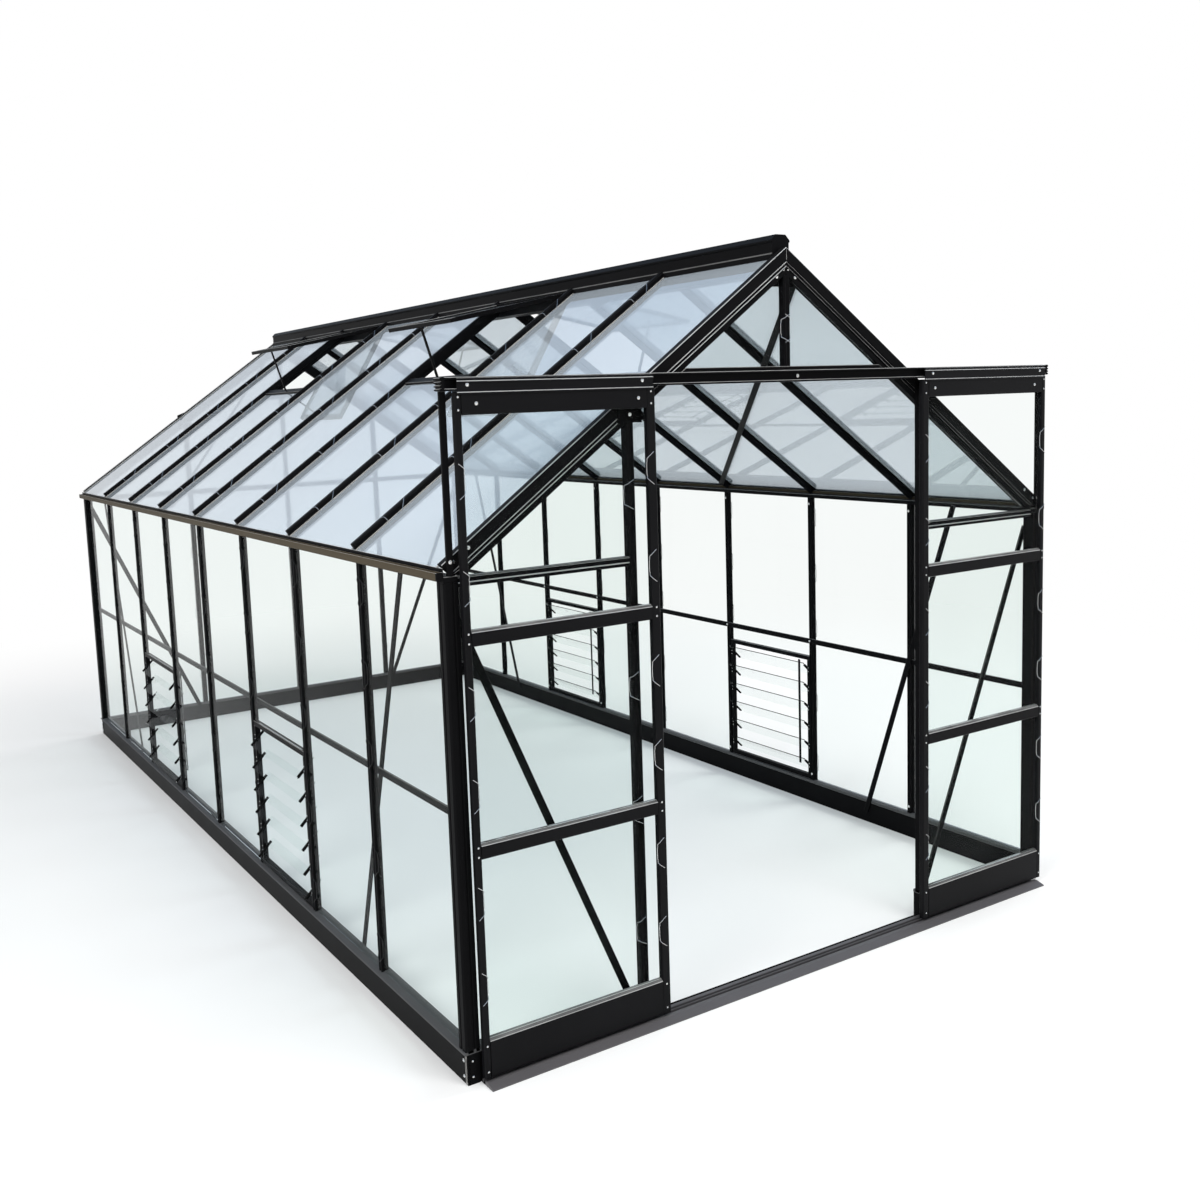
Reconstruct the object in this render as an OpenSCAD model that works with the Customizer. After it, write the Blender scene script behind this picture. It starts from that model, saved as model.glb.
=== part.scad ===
// Glazed sunroom: a gabled frame of slim bars on a low plinth, with clear panes,
// two sliding doors at the front, roof vents and louvre windows.
// X runs across the front, Y from the door end to the back, Z up from the ground.

/* [Size] */
// Number of glazed bays along each side wall
bays = 8; // [6:1:10]
// Pitch of the glazing bars along the sides
bay = 620; // [580:5:680]
// Width between the centres of the corner posts
width = 2560; // [2450:10:2750]
// Height of the top of the eave beams
eave_h = 1515; // [1450:5:1650]
// Slope of the roof in degrees
roof_pitch = 35.2; // [33:0.1:38]
// How far a door jamb stands outside the middle of its half of the front, where its door parks
jamb_shift = 7; // [0:1:10]
// Number of plain bays between a gable and the nearest bay with a vent and a louvre
vent_from = 2; // [1:1:3]

/* [Frame] */
// Side of the square corner posts, and depth of the plinth
post_w = 46; // [40:1:52]
// Width of a glazing bar as seen from outside
bar_w = 28; // [22:1:34]
// Depth of a wall bar through the wall
bar_d = 28; // [26:1:34]
// Height of the plinth rails
base_h = 95; // [80:1:130]
// Thickness of the sill strip on the plinth
sill_t = 12; // [8:1:18]
// How far the side sills stand out of the plinth
sill_over = 6; // [2:1:10]
// Height of the eave beams
eave_beam_h = 18; // [14:1:26]
// Depth of the gutter outside the eave beam
gutter_w = 22; // [16:1:30]
// Height of the gutter
gutter_h = 25; // [20:1:32]
// How far the gutter hangs below the top of the eave beam
gutter_drop = 12; // [6:1:18]
// How far the gutter's back wall stands above its front, up to the roof panes' edge
gutter_back = 12; // [6:1:16]
// Thickness of the gutter's back wall
gutter_back_t = 3; // [2:0.5:6]
// Depth of the roof square to the slope, from the roof bars' underside to the gable rafters' top
roof_d = 40; // [34:1:48]
// How far the roof bars stand above the gable rafters' top
roof_rib = 13; // [8:1:16]
// Depth of the gable rafters square to the slope
rafter_d = 70; // [60:1:85]
// Thickness of the gable frames along the length
frame_t = 28; // [24:1:36]
// Width of the ridge beam
ridge_w = 80; // [60:1:100]
// How far the ridge beam stands above the level of the gable rafters' top at its sides
ridge_up = 72; // [50:1:80]
// How far the ridge beam hangs below the roof bars
ridge_down = 8; // [4:1:16]
// Height of the bevel along the top of the ridge beam
ridge_bevel = 18; // [8:1:26]
// Width of the door jambs and the outer back mullions
jamb_w = 28; // [24:1:34]
// Width of the king post and the middle back mullion
king_w = 24; // [20:1:32]
// Height of the tie bar between the front rafters
tie_h = 38; // [30:1:44]
// How far the tie bar stands above the underside of the door track
tie_lift = 14; // [10:1:20]
// Height of the rails across the gables at the eaves
eave_rail_h = 30; // [24:1:36]
// Drop from the eave beam's top to the top of those rails
eave_rail_drop = 5; // [2:1:10]
// Thickness of the flat rails and braces
flat_t = 6; // [4:1:8]
// Width of the flat rails and braces
flat_w = 25; // [20:1:32]
// Distance of the side walls' mid rails above the louvre windows
mid_rail_lift = 66; // [50:1:120]
// Distance of a wall brace's top end from the corner post's centre
brace_top = 365; // [300:5:420]
// Distance of a wall brace's foot from the corner post's centre
brace_foot = 870; // [760:5:920]
// Height of the gable braces' upper ends below the eave beam's top
gable_brace_drop = 75; // [60:1:110]
// Thickness of the gusset plates
gusset_t = 3; // [2:0.5:4]
// Half the width of the gusset plates under the ridge, at their foot
apex_reach = 75; // [60:1:90]
// Height of those plates
apex_h = 40; // [30:1:50]
// Half the width of the gusset plates at the jambs
plate_reach = 45; // [36:1:52]
// Height of the gusset plates at the jambs
plate_h = 110; // [90:1:130]

/* [Glazing] */
// Thickness of the clear panes
pane_t = 4; // [3:0.5:6]
// Distance of the wall panes outside the middle of the bars
pane_out = 6; // [4:1:8]
// Depth of the roof panes below the level of the gable rafters' top
pane_sink = 8; // [6:1:14]
// Play between a pane or a fitted piece and its seat
seat = 0.3; // [0.2:0.1:0.5]

/* [Roof vents] */
// Length of a vent down the slope
vent_len = 560; // [500:5:600]
// Opening angle of the vents in degrees
vent_open = 24; // [15:1:30]
// Width of the vent frame bars
vent_bar_w = 24; // [18:1:30]
// Thickness of the vent frame bars
vent_bar_t = 18; // [12:1:22]
// Distance of the vent sills from the ridge line, measured level
vent_sill_x = 500; // [470:5:530]
// Width of a vent sill down the slope
vent_sill_w = 26; // [20:1:32]
// Depth of a vent sill square to the slope
vent_sill_d = 30; // [24:1:34]
// Width of a vent stay
stay_w = 14; // [10:1:18]

/* [Louvre windows] */
// Height of a louvre window above the sill
louvre_h = 615; // [560:5:660]
// Height of the louvre head and sill rails
louvre_rail_h = 20; // [16:1:26]
// Width of the blade holders
holder_w = 16; // [12:1:22]
// Depth of the louvre frame through the wall
louvre_d = 22; // [18:1:28]
// How far the louvre frame sits behind the bars' outer face
louvre_set = 2; // [1:0.5:4]
// Number of blades in a louvre window
blades = 6; // [5:1:7]
// Width of a blade
blade_w = 100; // [90:1:105]
// Opening angle of the blades below level in degrees
blade_tilt = 45; // [40:1:50]

/* [Sliding doors] */
// Thickness of a door
door_t = 20; // [16:1:28]
// How far a closed door laps over its jamb
door_lap = 51; // [40:1:54]
// Half the gap between the two closed doors
door_meet = 3; // [2.5:0.5:5]
// How far the outer edge of the open right door stays inside the corner post's centre
door_back = 0; // [0:1:12]
// How much less the left door is opened than the right one
left_less = 20; // [0:1:26]
// Running clearance around the doors
door_clear = 5; // [5:0.5:8]
// Width of the outer door stiles
stile_w = 21; // [18:1:28]
// Width of the stiles at which the closed doors meet
meet_stile_w = 31; // [26:1:36]
// Height of the top rail of a door
top_rail_h = 62; // [50:1:75]
// Height of the two middle rails
mid_door_rail_h = 48; // [40:1:56]
// Height of the kick panel at a door's foot
kick_h = 120; // [100:1:140]
// Height of the middle of the lower middle rail
low_rail_z = 712; // [660:1:800]
// Height of the middle of the upper middle rail
high_rail_z = 1336; // [1250:1:1420]
// How far the hanger strip laps over a door's top edge
hanger_lap = 6; // [4:1:12]
// Thickness of the hanger strip
hanger_t = 4; // [3:0.5:6]
// Distance of the hanger strip's ends from the door's edges
hanger_inset = 8; // [4:1:12]
// Radius of the door wheels
wheel_r = 10; // [8:0.5:10]
// Width of the door wheels
wheel_t = 8; // [6:0.5:9]
// Radius of the door wheels' axles
axle_r = 4; // [3:0.5:6]
// Distance of the wheels from the door's edges
wheel_inset = 60; // [50:1:90]

/* [Door track and threshold] */
// Height of the door track
track_h = 38; // [38:1:46]
// Thickness of the door track behind the wheels
track_web = 24; // [18:1:28]
// Depth of the two lips that the wheels run between
track_lip = 14; // [13:1:18]
// Thickness of the lips
lip_t = 6; // [4:0.5:7]
// Height of the door track's underside above the rafters' top at the jambs
track_lift = 19; // [10:1:26]
// How far the door track passes the corner posts' centres
track_over = 20; // [14:1:40]
// Width of the struts under the ends of the door track
strut_w = 20; // [16:1:26]
// Thickness of the struts
strut_t = 10; // [8:0.5:10]
// Depth of the threshold in front of the plinth
threshold_d = 70; // [60:1:80]
// How far the threshold reaches in between the plinth's ends
threshold_in = 28; // [20:1:40]
// Height of the threshold
threshold_h = 14; // [10:1:18]
// Height of the threshold's front edge
threshold_nose = 5; // [3:1:7]
// Height of the door's foot above the threshold
door_lift = 8; // [6:1:14]

/* [Hidden] */
half = width / 2;
jamb_x = half / 2 + jamb_shift;
frame_l = bays * bay;
base_d = post_w;
front_reach = base_d / 2 + threshold_d;
back_reach = base_d / 2;
y_shift = (front_reach - back_reach) / 2;
y_front = y_shift - frame_l / 2;
y_back = y_shift + frame_l / 2;
tan_p = tan(roof_pitch);
cos_p = cos(roof_pitch);
sill_top = base_h + sill_t;
wall_top = eave_h - eave_beam_h;
wall_in = half - post_w / 2;
wall_out = half + post_w / 2;
ridge_x = ridge_w / 2;
track_z = roof_z(jamb_x, roof_d) + track_lift;
tie_z = track_z + tie_lift;
ridge_z0 = roof_z(ridge_x, 0) - ridge_down;
ridge_z1 = roof_z(ridge_x, roof_d) + ridge_up;
eave_rail_top = eave_h - eave_rail_drop;
louvre_top = sill_top + louvre_h;
mid_rail_low = louvre_top + mid_rail_lift;
blade_x = half + bar_d / 2 - louvre_set - louvre_d / 2;
blade_pitch = (louvre_h - 2 * louvre_rail_h) / blades;
// Doors hang in front of the track lips, with the running clearance on both sides
lip_front = frame_t / 2 + track_web + track_lip;
leaf_front = lip_front + door_clear;
leaf_back = leaf_front - door_t;
door_w = jamb_x - jamb_w / 2 + door_lap - door_meet;
door_out = half - door_back;
door_in = door_out - door_w;
door_z0 = threshold_h + door_lift;
door_z1 = track_z - door_clear;
vent_hinge_x = ridge_x + seat;
vent_hinge_z = roof_z(ridge_x, roof_d) - vent_bar_t;
vent_angle = roof_pitch - vent_open;
vent_bays = [vent_from, bays - 1 - vent_from];
frame_black = [0.07, 0.07, 0.075];
sill_grey = [0.36, 0.35, 0.34];
pane_clear = [0.8, 0.9, 0.88, 0.35];

// Height n above the underside of the roof bars, measured square to the slope, at distance x
function roof_z(x, n) = eave_h + (half - x) * tan_p + n / cos_p;
// Underside of the gable rafters at distance x from the middle
function rafter_z(x) = roof_z(x, roof_d - rafter_d);
// Distance from the middle at which the gable rafters' underside has height z
function rafter_x(z) = half - (z - rafter_z(half)) / tan_p;
// Place of wall bar i, counted from the back
function bar_y(i) = y_back - i * bay;
// Half the width of upright i of a side wall: posts at the ends, bars between
function upright_w(i) = (i == 0 || i == bays) ? post_w / 2 : bar_w / 2;
function is_vent_bay(i) = len(search(i, vent_bays)) > 0;
// Place at depth d in front of the front frame's middle
function front_y(d) = y_front - d;

module block(low, high) { translate(low) cube(high - low); }

// Section drawn in X and Z, run along Y
module along_y(y0, y1) {
    translate([0, y1, 0]) rotate([90, 0, 0]) linear_extrude(y1 - y0) children();
}

module both_sides() {
    children();
    mirror([1, 0, 0]) children();
}

// The front frame's pieces and the back frame's pieces, both drawn about y = 0 facing -Y
module at_front() { translate([0, y_front, 0]) children(); }
module at_back() { translate([0, y_back, 0]) mirror([0, 1, 0]) children(); }

// Flat bar between two points of a wall drawn in Y and Z, lying inside the face at x
module wall_flat(x, foot, head) {
    run = head - foot;
    translate([x - flat_t, foot[0], foot[1]])
        rotate([atan2(-run[0], run[1]), 0, 0])
            translate([0, -flat_w / 2, 0]) cube([flat_t, flat_w, norm(run)]);
}

// Flat bar between two points of a gable drawn in X and Z, lying inside the plinth's inner face
module gable_flat(foot, head) {
    run = head - foot;
    translate([foot[0], base_d / 2, foot[1]])
        rotate([0, atan2(run[0], run[1]), 0])
            translate([-flat_w / 2, 0, 0]) cube([flat_w, flat_t, norm(run)]);
}

// Slope frame of the right roof side: x up the slope from the eave, y along the roof, z inwards
module on_slope() { translate([half, 0, eave_h]) rotate([0, 180 + roof_pitch, 0]) children(); }

// Frame of one vent in its opened place: x down the vent from its hinge, z outwards
module at_vent(i) {
    translate([vent_hinge_x, bar_y(i + 1) + bay / 2, vent_hinge_z])
        rotate([0, vent_angle, 0]) children();
}

module at_vents() { both_sides() for (i = vent_bays) at_vent(i) children(); }

vent_w = bay - bar_w - 2 * seat;

module side_base_rails() {
    color(frame_black) both_sides()
        block([wall_in, front_y(base_d / 2), 0], [wall_out, y_back + base_d / 2, base_h]);
}

module end_base_rails() {
    color(frame_black) {
        both_sides() block([jamb_x - jamb_w / 2, front_y(base_d / 2), 0],
            [wall_in, front_y(-base_d / 2), base_h]);
        block([-wall_in, y_back - base_d / 2, 0], [wall_in, y_back + base_d / 2, base_h]);
    }
}

module side_sills() {
    color(sill_grey) both_sides() block([wall_in, front_y(base_d / 2), base_h],
        [wall_out + sill_over, y_back + base_d / 2, sill_top]);
}

module end_sills() {
    color(sill_grey) {
        both_sides() block([jamb_x - jamb_w / 2, front_y(base_d / 2), base_h],
            [wall_in, front_y(-base_d / 2), sill_top]);
        block([-wall_in, y_back - base_d / 2, base_h], [wall_in, y_back + base_d / 2, sill_top]);
    }
}

module corner_posts() {
    color(frame_black) both_sides() for (y = [y_front, y_back])
        block([wall_in, y - post_w / 2, sill_top], [wall_out, y + post_w / 2, wall_top]);
}

module wall_bars() {
    color(frame_black) both_sides() for (i = [1 : bays - 1])
        block([half - bar_d / 2, bar_y(i) - bar_w / 2, sill_top],
            [half + bar_d / 2, bar_y(i) + bar_w / 2, wall_top]);
}

module wall_mid_rails() {
    color(frame_black) both_sides()
        block([half - bar_d / 2 - flat_t, y_front + post_w / 2, mid_rail_low],
            [half - bar_d / 2, y_back - post_w / 2, mid_rail_low + flat_w]);
}

module wall_braces() {
    foot_z = base_h / 2;
    head_z = eave_h - eave_beam_h / 2;
    color(frame_black) both_sides() {
        wall_flat(wall_in, [y_front + brace_foot, foot_z], [y_front + brace_top, head_z]);
        wall_flat(wall_in, [y_back - brace_foot, foot_z], [y_back - brace_top, head_z]);
    }
}

module eave_beams() {
    color(frame_black) both_sides()
        block([wall_in, y_front - post_w / 2, wall_top], [wall_out, y_back + post_w / 2, eave_h]);
}

module gutters() {
    bottom = eave_h - gutter_drop;
    top = bottom + gutter_h;
    lean = gutter_w / 5;
    front = wall_out + gutter_w;
    back = wall_out + gutter_back_t;
    color(frame_black) both_sides() along_y(y_front - post_w / 2, y_back + post_w / 2)
        polygon([[wall_out, bottom], [front - lean, bottom], [front, bottom + lean], [front, top],
            [back, top], [back, top + gutter_back], [wall_out, top + gutter_back]]);
}

module ridge_beam() {
    color(frame_black) along_y(front_y(-frame_t / 2), y_back - frame_t / 2)
        polygon([[-ridge_x, ridge_z0], [ridge_x, ridge_z0], [ridge_x, ridge_z1 - ridge_bevel],
            [ridge_x - ridge_bevel, ridge_z1], [ridge_bevel - ridge_x, ridge_z1],
            [-ridge_x, ridge_z1 - ridge_bevel]]);
}

module roof_bar_section() {
    toe = wall_out - seat;
    high = roof_d + roof_rib;
    polygon([[ridge_x, roof_z(ridge_x, 0)], [half, eave_h], [toe, eave_h],
        [toe, roof_z(toe, high)], [ridge_x, roof_z(ridge_x, high)]]);
}

module roof_bars() {
    color(frame_black) both_sides() for (i = [1 : bays - 1])
        along_y(bar_y(i) - bar_w / 2, bar_y(i) + bar_w / 2) roof_bar_section();
}

// The two rafters of a gable meet in front of the ridge beam's end
module gable_rafter_section() {
    toe = wall_out - seat;
    polygon([[seat, rafter_z(seat)], [rafter_x(eave_h), eave_h], [toe, eave_h],
        [toe, roof_z(toe, roof_d)], [seat, roof_z(seat, roof_d)]]);
}

module gable_rafters() {
    color(frame_black) both_sides() for (y = [y_front, y_back])
        along_y(y - frame_t / 2, y + frame_t / 2) gable_rafter_section();
}

// Upright under a gable rafter, with its top cut to the slope
module upright_section() {
    near = jamb_x - jamb_w / 2;
    far = jamb_x + jamb_w / 2;
    polygon([[near, sill_top], [far, sill_top], [far, rafter_z(far)], [near, rafter_z(near)]]);
}

module door_jambs() {
    color(frame_black) both_sides() along_y(y_front - frame_t / 2, y_front + frame_t / 2)
        upright_section();
}

module tie_bar() {
    low = rafter_x(tie_z);
    high = rafter_x(tie_z + tie_h);
    color(frame_black) along_y(y_front - frame_t / 2, y_front + frame_t / 2)
        polygon([[-low, tie_z], [low, tie_z], [high, tie_z + tie_h], [-high, tie_z + tie_h]]);
}

// Upright in the middle of a gable, with its top cut to both rafters
module king_section(low) {
    edge = king_w / 2;
    polygon([[-edge, low], [edge, low], [edge, rafter_z(edge)], [0, rafter_z(0)],
        [-edge, rafter_z(edge)]]);
}

module king_post() {
    color(frame_black) along_y(y_front - frame_t / 2, y_front + frame_t / 2)
        king_section(tie_z + tie_h);
}

module back_mullions() {
    color(frame_black) {
        both_sides() along_y(y_back - frame_t / 2, y_back + frame_t / 2) upright_section();
        along_y(y_back - frame_t / 2, y_back + frame_t / 2) king_section(sill_top);
    }
}

module gable_eave_rails() {
    low = eave_rail_top - eave_rail_h;
    inner = jamb_x - jamb_w / 2;
    outer = jamb_x + jamb_w / 2;
    color(frame_black) both_sides() {
        for (y = [y_front, y_back])
            block([outer, y - frame_t / 2, low], [wall_in, y + frame_t / 2, eave_rail_top]);
        block([king_w / 2, y_back - frame_t / 2, low], [inner, y_back + frame_t / 2, eave_rail_top]);
    }
}

module gable_brace() {
    gable_flat([jamb_x + flat_w, base_h / 2], [half - flat_w / 2, eave_h - gable_brace_drop]);
}

module gable_braces() {
    color(frame_black) {
        at_front() both_sides() gable_brace();
        at_back() both_sides() gable_brace();
    }
}

// Plate behind the rafters and the king post, under the ridge beam's end
module apex_plate() {
    high = ridge_z0 - seat;
    low = high - apex_h;
    along_y(frame_t / 2, frame_t / 2 + gusset_t)
        polygon([[-apex_reach, low], [apex_reach, low], [apex_reach / 2, high], [-apex_reach / 2, high]]);
}

// Plate over the joint of jamb and rafter
module jamb_plate() {
    low = track_z - plate_h;
    along_y(-frame_t / 2 - gusset_t, -frame_t / 2)
        polygon([[jamb_x - plate_reach, low], [jamb_x + plate_reach, low],
            [jamb_x + plate_reach, track_z - plate_h / 3], [jamb_x - plate_reach, track_z - seat]]);
}

module gusset_plates() {
    color(frame_black) {
        at_front() apex_plate();
        at_back() apex_plate();
        at_front() both_sides() jamb_plate();
        at_back() both_sides() jamb_plate();
    }
}

// Diagonal under the roof bars, from the ridge at the door end down to the third bar's foot
module roof_brace() {
    top = [(half - ridge_x) / cos_p - 2 * flat_w, y_front + frame_t / 2 + flat_w];
    foot = [2 * flat_w, bar_y(bays - 3)];
    run = top - foot;
    on_slope() translate([foot[0], foot[1], seat]) rotate([0, 0, atan2(run[1], run[0])])
        translate([0, -flat_w / 2, 0]) cube([norm(run), flat_w, flat_t]);
}

module roof_braces() {
    color(frame_black) {
        roof_brace();
        translate([0, 2 * y_shift, 0]) rotate([0, 0, 180]) roof_brace();
    }
}

module door_track() {
    color(frame_black) block([-half - track_over, front_y(frame_t / 2 + track_web), track_z],
        [half + track_over, front_y(frame_t / 2), track_z + track_h]);
}

module track_lips() {
    color(frame_black) for (z = [track_z, track_z + track_h - lip_t])
        block([-half - track_over, front_y(lip_front), z],
            [half + track_over, front_y(frame_t / 2 + track_web), z + lip_t]);
}

module track_struts() {
    color(frame_black) both_sides()
        block([half - strut_w / 2, front_y(frame_t / 2 + strut_t), eave_h],
            [half + strut_w / 2, front_y(frame_t / 2), track_z]);
}

module threshold() {
    back = base_d / 2;
    nose = back + threshold_d;
    top_edge = nose - threshold_h;
    doorway = jamb_x - jamb_w / 2 - seat;
    color(sill_grey) {
        translate([wall_in, y_front, 0]) rotate([0, 0, -90]) rotate([90, 0, 0])
            linear_extrude(2 * wall_in)
                polygon([[back, 0], [nose, 0], [nose, threshold_nose], [top_edge, threshold_h],
                    [back, threshold_h]]);
        block([-doorway, front_y(top_edge), 0],
            [doorway, front_y(back - threshold_in), threshold_h]);
    }
}

module wall_panes() {
    x0 = half + pane_out - pane_t / 2;
    color(pane_clear) both_sides() for (i = [0 : bays - 1]) {
        low = is_vent_bay(i) ? louvre_top : sill_top;
        block([x0, bar_y(i + 1) + upright_w(i + 1) + seat, low + seat],
            [x0 + pane_t, bar_y(i) - upright_w(i) - seat, wall_top - seat]);
    }
}

module roof_pane_section(top_x) {
    toe = wall_out - seat;
    n0 = roof_d - pane_sink - pane_t;
    n1 = roof_d - pane_sink;
    polygon([[top_x, roof_z(top_x, n0)], [toe, roof_z(toe, n0)],
        [toe, roof_z(toe, n1)], [top_x, roof_z(top_x, n1)]]);
}

// Half the width of roof upright i: gable frames at the ends, bars between
function roof_upright_w(i) = (i == 0 || i == bays) ? frame_t / 2 : bar_w / 2;

module roof_panes() {
    under_sill = vent_sill_x + vent_sill_w + seat;
    color(pane_clear) both_sides() for (i = [0 : bays - 1])
        along_y(bar_y(i + 1) + roof_upright_w(i + 1) + seat, bar_y(i) - roof_upright_w(i) - seat)
            roof_pane_section(is_vent_bay(i) ? under_sill : ridge_x + seat);
}

// Pane of a gable between x0 and x1, from a level edge up to the slope of the rafter
module sloped_pane(x0, x1, low) {
    near = x0 + seat;
    far = min(x1 - seat, rafter_x(low + 2 * seat));
    along_y(-pane_t / 2, pane_t / 2)
        polygon([[near, low + seat], [far, low + seat],
            [far, rafter_z(far) - seat], [near, rafter_z(near) - seat]]);
}

module side_bay_panes() {
    edge = jamb_x + jamb_w / 2;
    sloped_pane(edge, half, eave_rail_top);
    block([edge + seat, -pane_t / 2, sill_top + seat],
        [wall_in - seat, pane_t / 2, eave_rail_top - eave_rail_h - seat]);
}

module front_gable_panes() {
    color(pane_clear) at_front() both_sides() {
        side_bay_panes();
        sloped_pane(king_w / 2, half, tie_z + tie_h);
    }
}

module back_gable_panes() {
    color(pane_clear) at_back() both_sides() {
        side_bay_panes();
        sloped_pane(king_w / 2, jamb_x - jamb_w / 2, eave_rail_top);
        block([king_w / 2 + seat, -pane_t / 2, sill_top + seat],
            [jamb_x - jamb_w / 2 - seat, pane_t / 2, eave_rail_top - eave_rail_h - seat]);
    }
}

// Window space between two wall bars, from the middle of the bay at height 0
module at_louvres() {
    both_sides() for (i = vent_bays) translate([blade_x, bar_y(i + 1) + bay / 2, 0]) children();
}

louvre_half = (bay - bar_w) / 2 - seat;

module louvre_rails() {
    color(frame_black) at_louvres() for (z = [sill_top, louvre_top - louvre_rail_h])
        block([-louvre_d / 2, -louvre_half, z], [louvre_d / 2, louvre_half, z + louvre_rail_h]);
}

module louvre_holders() {
    color(frame_black) at_louvres() for (side = [0, 1]) mirror([0, side, 0])
        block([-louvre_d / 2, louvre_half - holder_w, sill_top + louvre_rail_h],
            [louvre_d / 2, louvre_half, louvre_top - louvre_rail_h]);
}

module louvre_blades() {
    reach = louvre_half - holder_w - seat;
    color(pane_clear) at_louvres() for (k = [0 : blades - 1])
        translate([0, 0, sill_top + louvre_rail_h + (k + 0.5) * blade_pitch])
            rotate([0, blade_tilt, 0])
                block([-blade_w / 2, -reach, -pane_t / 2], [blade_w / 2, reach, pane_t / 2]);
}

module vent_side_rails() {
    color(frame_black) at_vents() for (side = [0, 1]) mirror([0, side, 0])
        block([vent_bar_w, vent_w / 2 - vent_bar_w, 0],
            [vent_len - vent_bar_w, vent_w / 2, vent_bar_t]);
}

module vent_cross_rails() {
    color(frame_black) at_vents() for (x = [0, vent_len - vent_bar_w])
        block([x, -vent_w / 2, 0], [x + vent_bar_w, vent_w / 2, vent_bar_t]);
}

module vent_panes() {
    rim = vent_bar_w + seat;
    low = (vent_bar_t - pane_t) / 2;
    color(pane_clear) at_vents()
        block([rim, rim - vent_w / 2, low], [vent_len - rim, vent_w / 2 - rim, low + pane_t]);
}

// Level cross bar at the foot of each vent opening, square to the slope
module vent_sills() {
    n0 = roof_d - vent_sill_d;
    x0 = vent_sill_x;
    x1 = vent_sill_x + vent_sill_w;
    color(frame_black) both_sides() for (i = vent_bays)
        along_y(bar_y(i + 1) + bar_w / 2 + seat, bar_y(i) - bar_w / 2 - seat)
            polygon([[x0, roof_z(x0, n0)], [x1, roof_z(x1, n0)],
                [x1, roof_z(x1, roof_d)], [x0, roof_z(x0, roof_d)]]);
}

// Underside of an opened vent at distance x from the middle
function vent_under_z(x) = vent_hinge_z - (x - vent_hinge_x) * tan(vent_angle);

// Stay from the middle of each sill up to the vent's lower rail, its ends cut to both faces
module vent_stays() {
    foot = vent_sill_x + vent_sill_w / 2;
    head = vent_hinge_x + (vent_len - vent_bar_w / 2) * cos(vent_angle);
    edge = flat_t / 2;
    foot_points = [for (x = [foot - edge, foot + edge]) [x, roof_z(x, roof_d) + seat]];
    head_points = [for (x = [head + edge, head - edge]) [x, vent_under_z(x) - seat]];
    color(frame_black) both_sides() for (i = vent_bays) translate([0, bar_y(i + 1) + bay / 2, 0])
        along_y(-stay_w / 2, stay_w / 2) polygon(concat(foot_points, head_points));
}

// One door in the right door's open place, drawn about the front frame's middle
module door_stiles() {
    block([door_in, -leaf_front, door_z0], [door_in + meet_stile_w, -leaf_back, door_z1]);
    block([door_out - stile_w, -leaf_front, door_z0], [door_out, -leaf_back, door_z1]);
}

module door_rail(low, high) {
    block([door_in + meet_stile_w, -leaf_front, low], [door_out - stile_w, -leaf_back, high]);
}

low_rail = [low_rail_z - mid_door_rail_h / 2, low_rail_z + mid_door_rail_h / 2];
high_rail = [high_rail_z - mid_door_rail_h / 2, high_rail_z + mid_door_rail_h / 2];
kick_top = door_z0 + kick_h;
top_rail_low = door_z1 - top_rail_h;

module door_rails() {
    door_rail(door_z0, kick_top);
    door_rail(low_rail[0], low_rail[1]);
    door_rail(high_rail[0], high_rail[1]);
    door_rail(top_rail_low, door_z1);
}

module door_pane(low, high) {
    mid = (leaf_front + leaf_back) / 2;
    block([door_in + meet_stile_w + seat, -mid - pane_t / 2, low + seat],
        [door_out - stile_w - seat, -mid + pane_t / 2, high - seat]);
}

module door_panes() {
    door_pane(kick_top, low_rail[0]);
    door_pane(low_rail[1], high_rail[0]);
    door_pane(high_rail[1], top_rail_low);
}

hanger_top = track_z + track_h - lip_t / 2;

module door_hanger() {
    block([door_in + hanger_inset, -leaf_front - hanger_t, door_z1 - hanger_lap],
        [door_out - hanger_inset, -leaf_front, hanger_top]);
}

// Wheels on the track's lower lip, each with its axle running out to the hanger strip
module door_wheels() {
    gap = (track_lip - wheel_t) / 2;
    for (x = [door_in + wheel_inset, door_out - wheel_inset])
        translate([x, -leaf_front, track_z + lip_t + seat + wheel_r]) rotate([-90, 0, 0]) {
            cylinder(h = door_clear + gap, r = axle_r, $fn = 32);
            translate([0, 0, door_clear + gap]) cylinder(h = wheel_t, r = wheel_r, $fn = 48);
        }
}

module at_left_door() { at_front() mirror([1, 0, 0]) translate([-left_less, 0, 0]) children(); }

module left_door_stiles() { color(frame_black) at_left_door() door_stiles(); }
module left_door_rails() { color(frame_black) at_left_door() door_rails(); }
module left_door_panes() { color(pane_clear) at_left_door() door_panes(); }
module left_door_hanger() { color(frame_black) at_left_door() door_hanger(); }
module left_door_wheels() { color(sill_grey) at_left_door() door_wheels(); }
module right_door_stiles() { color(frame_black) at_front() door_stiles(); }
module right_door_rails() { color(frame_black) at_front() door_rails(); }
module right_door_panes() { color(pane_clear) at_front() door_panes(); }
module right_door_hanger() { color(frame_black) at_front() door_hanger(); }
module right_door_wheels() { color(sill_grey) at_front() door_wheels(); }

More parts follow.
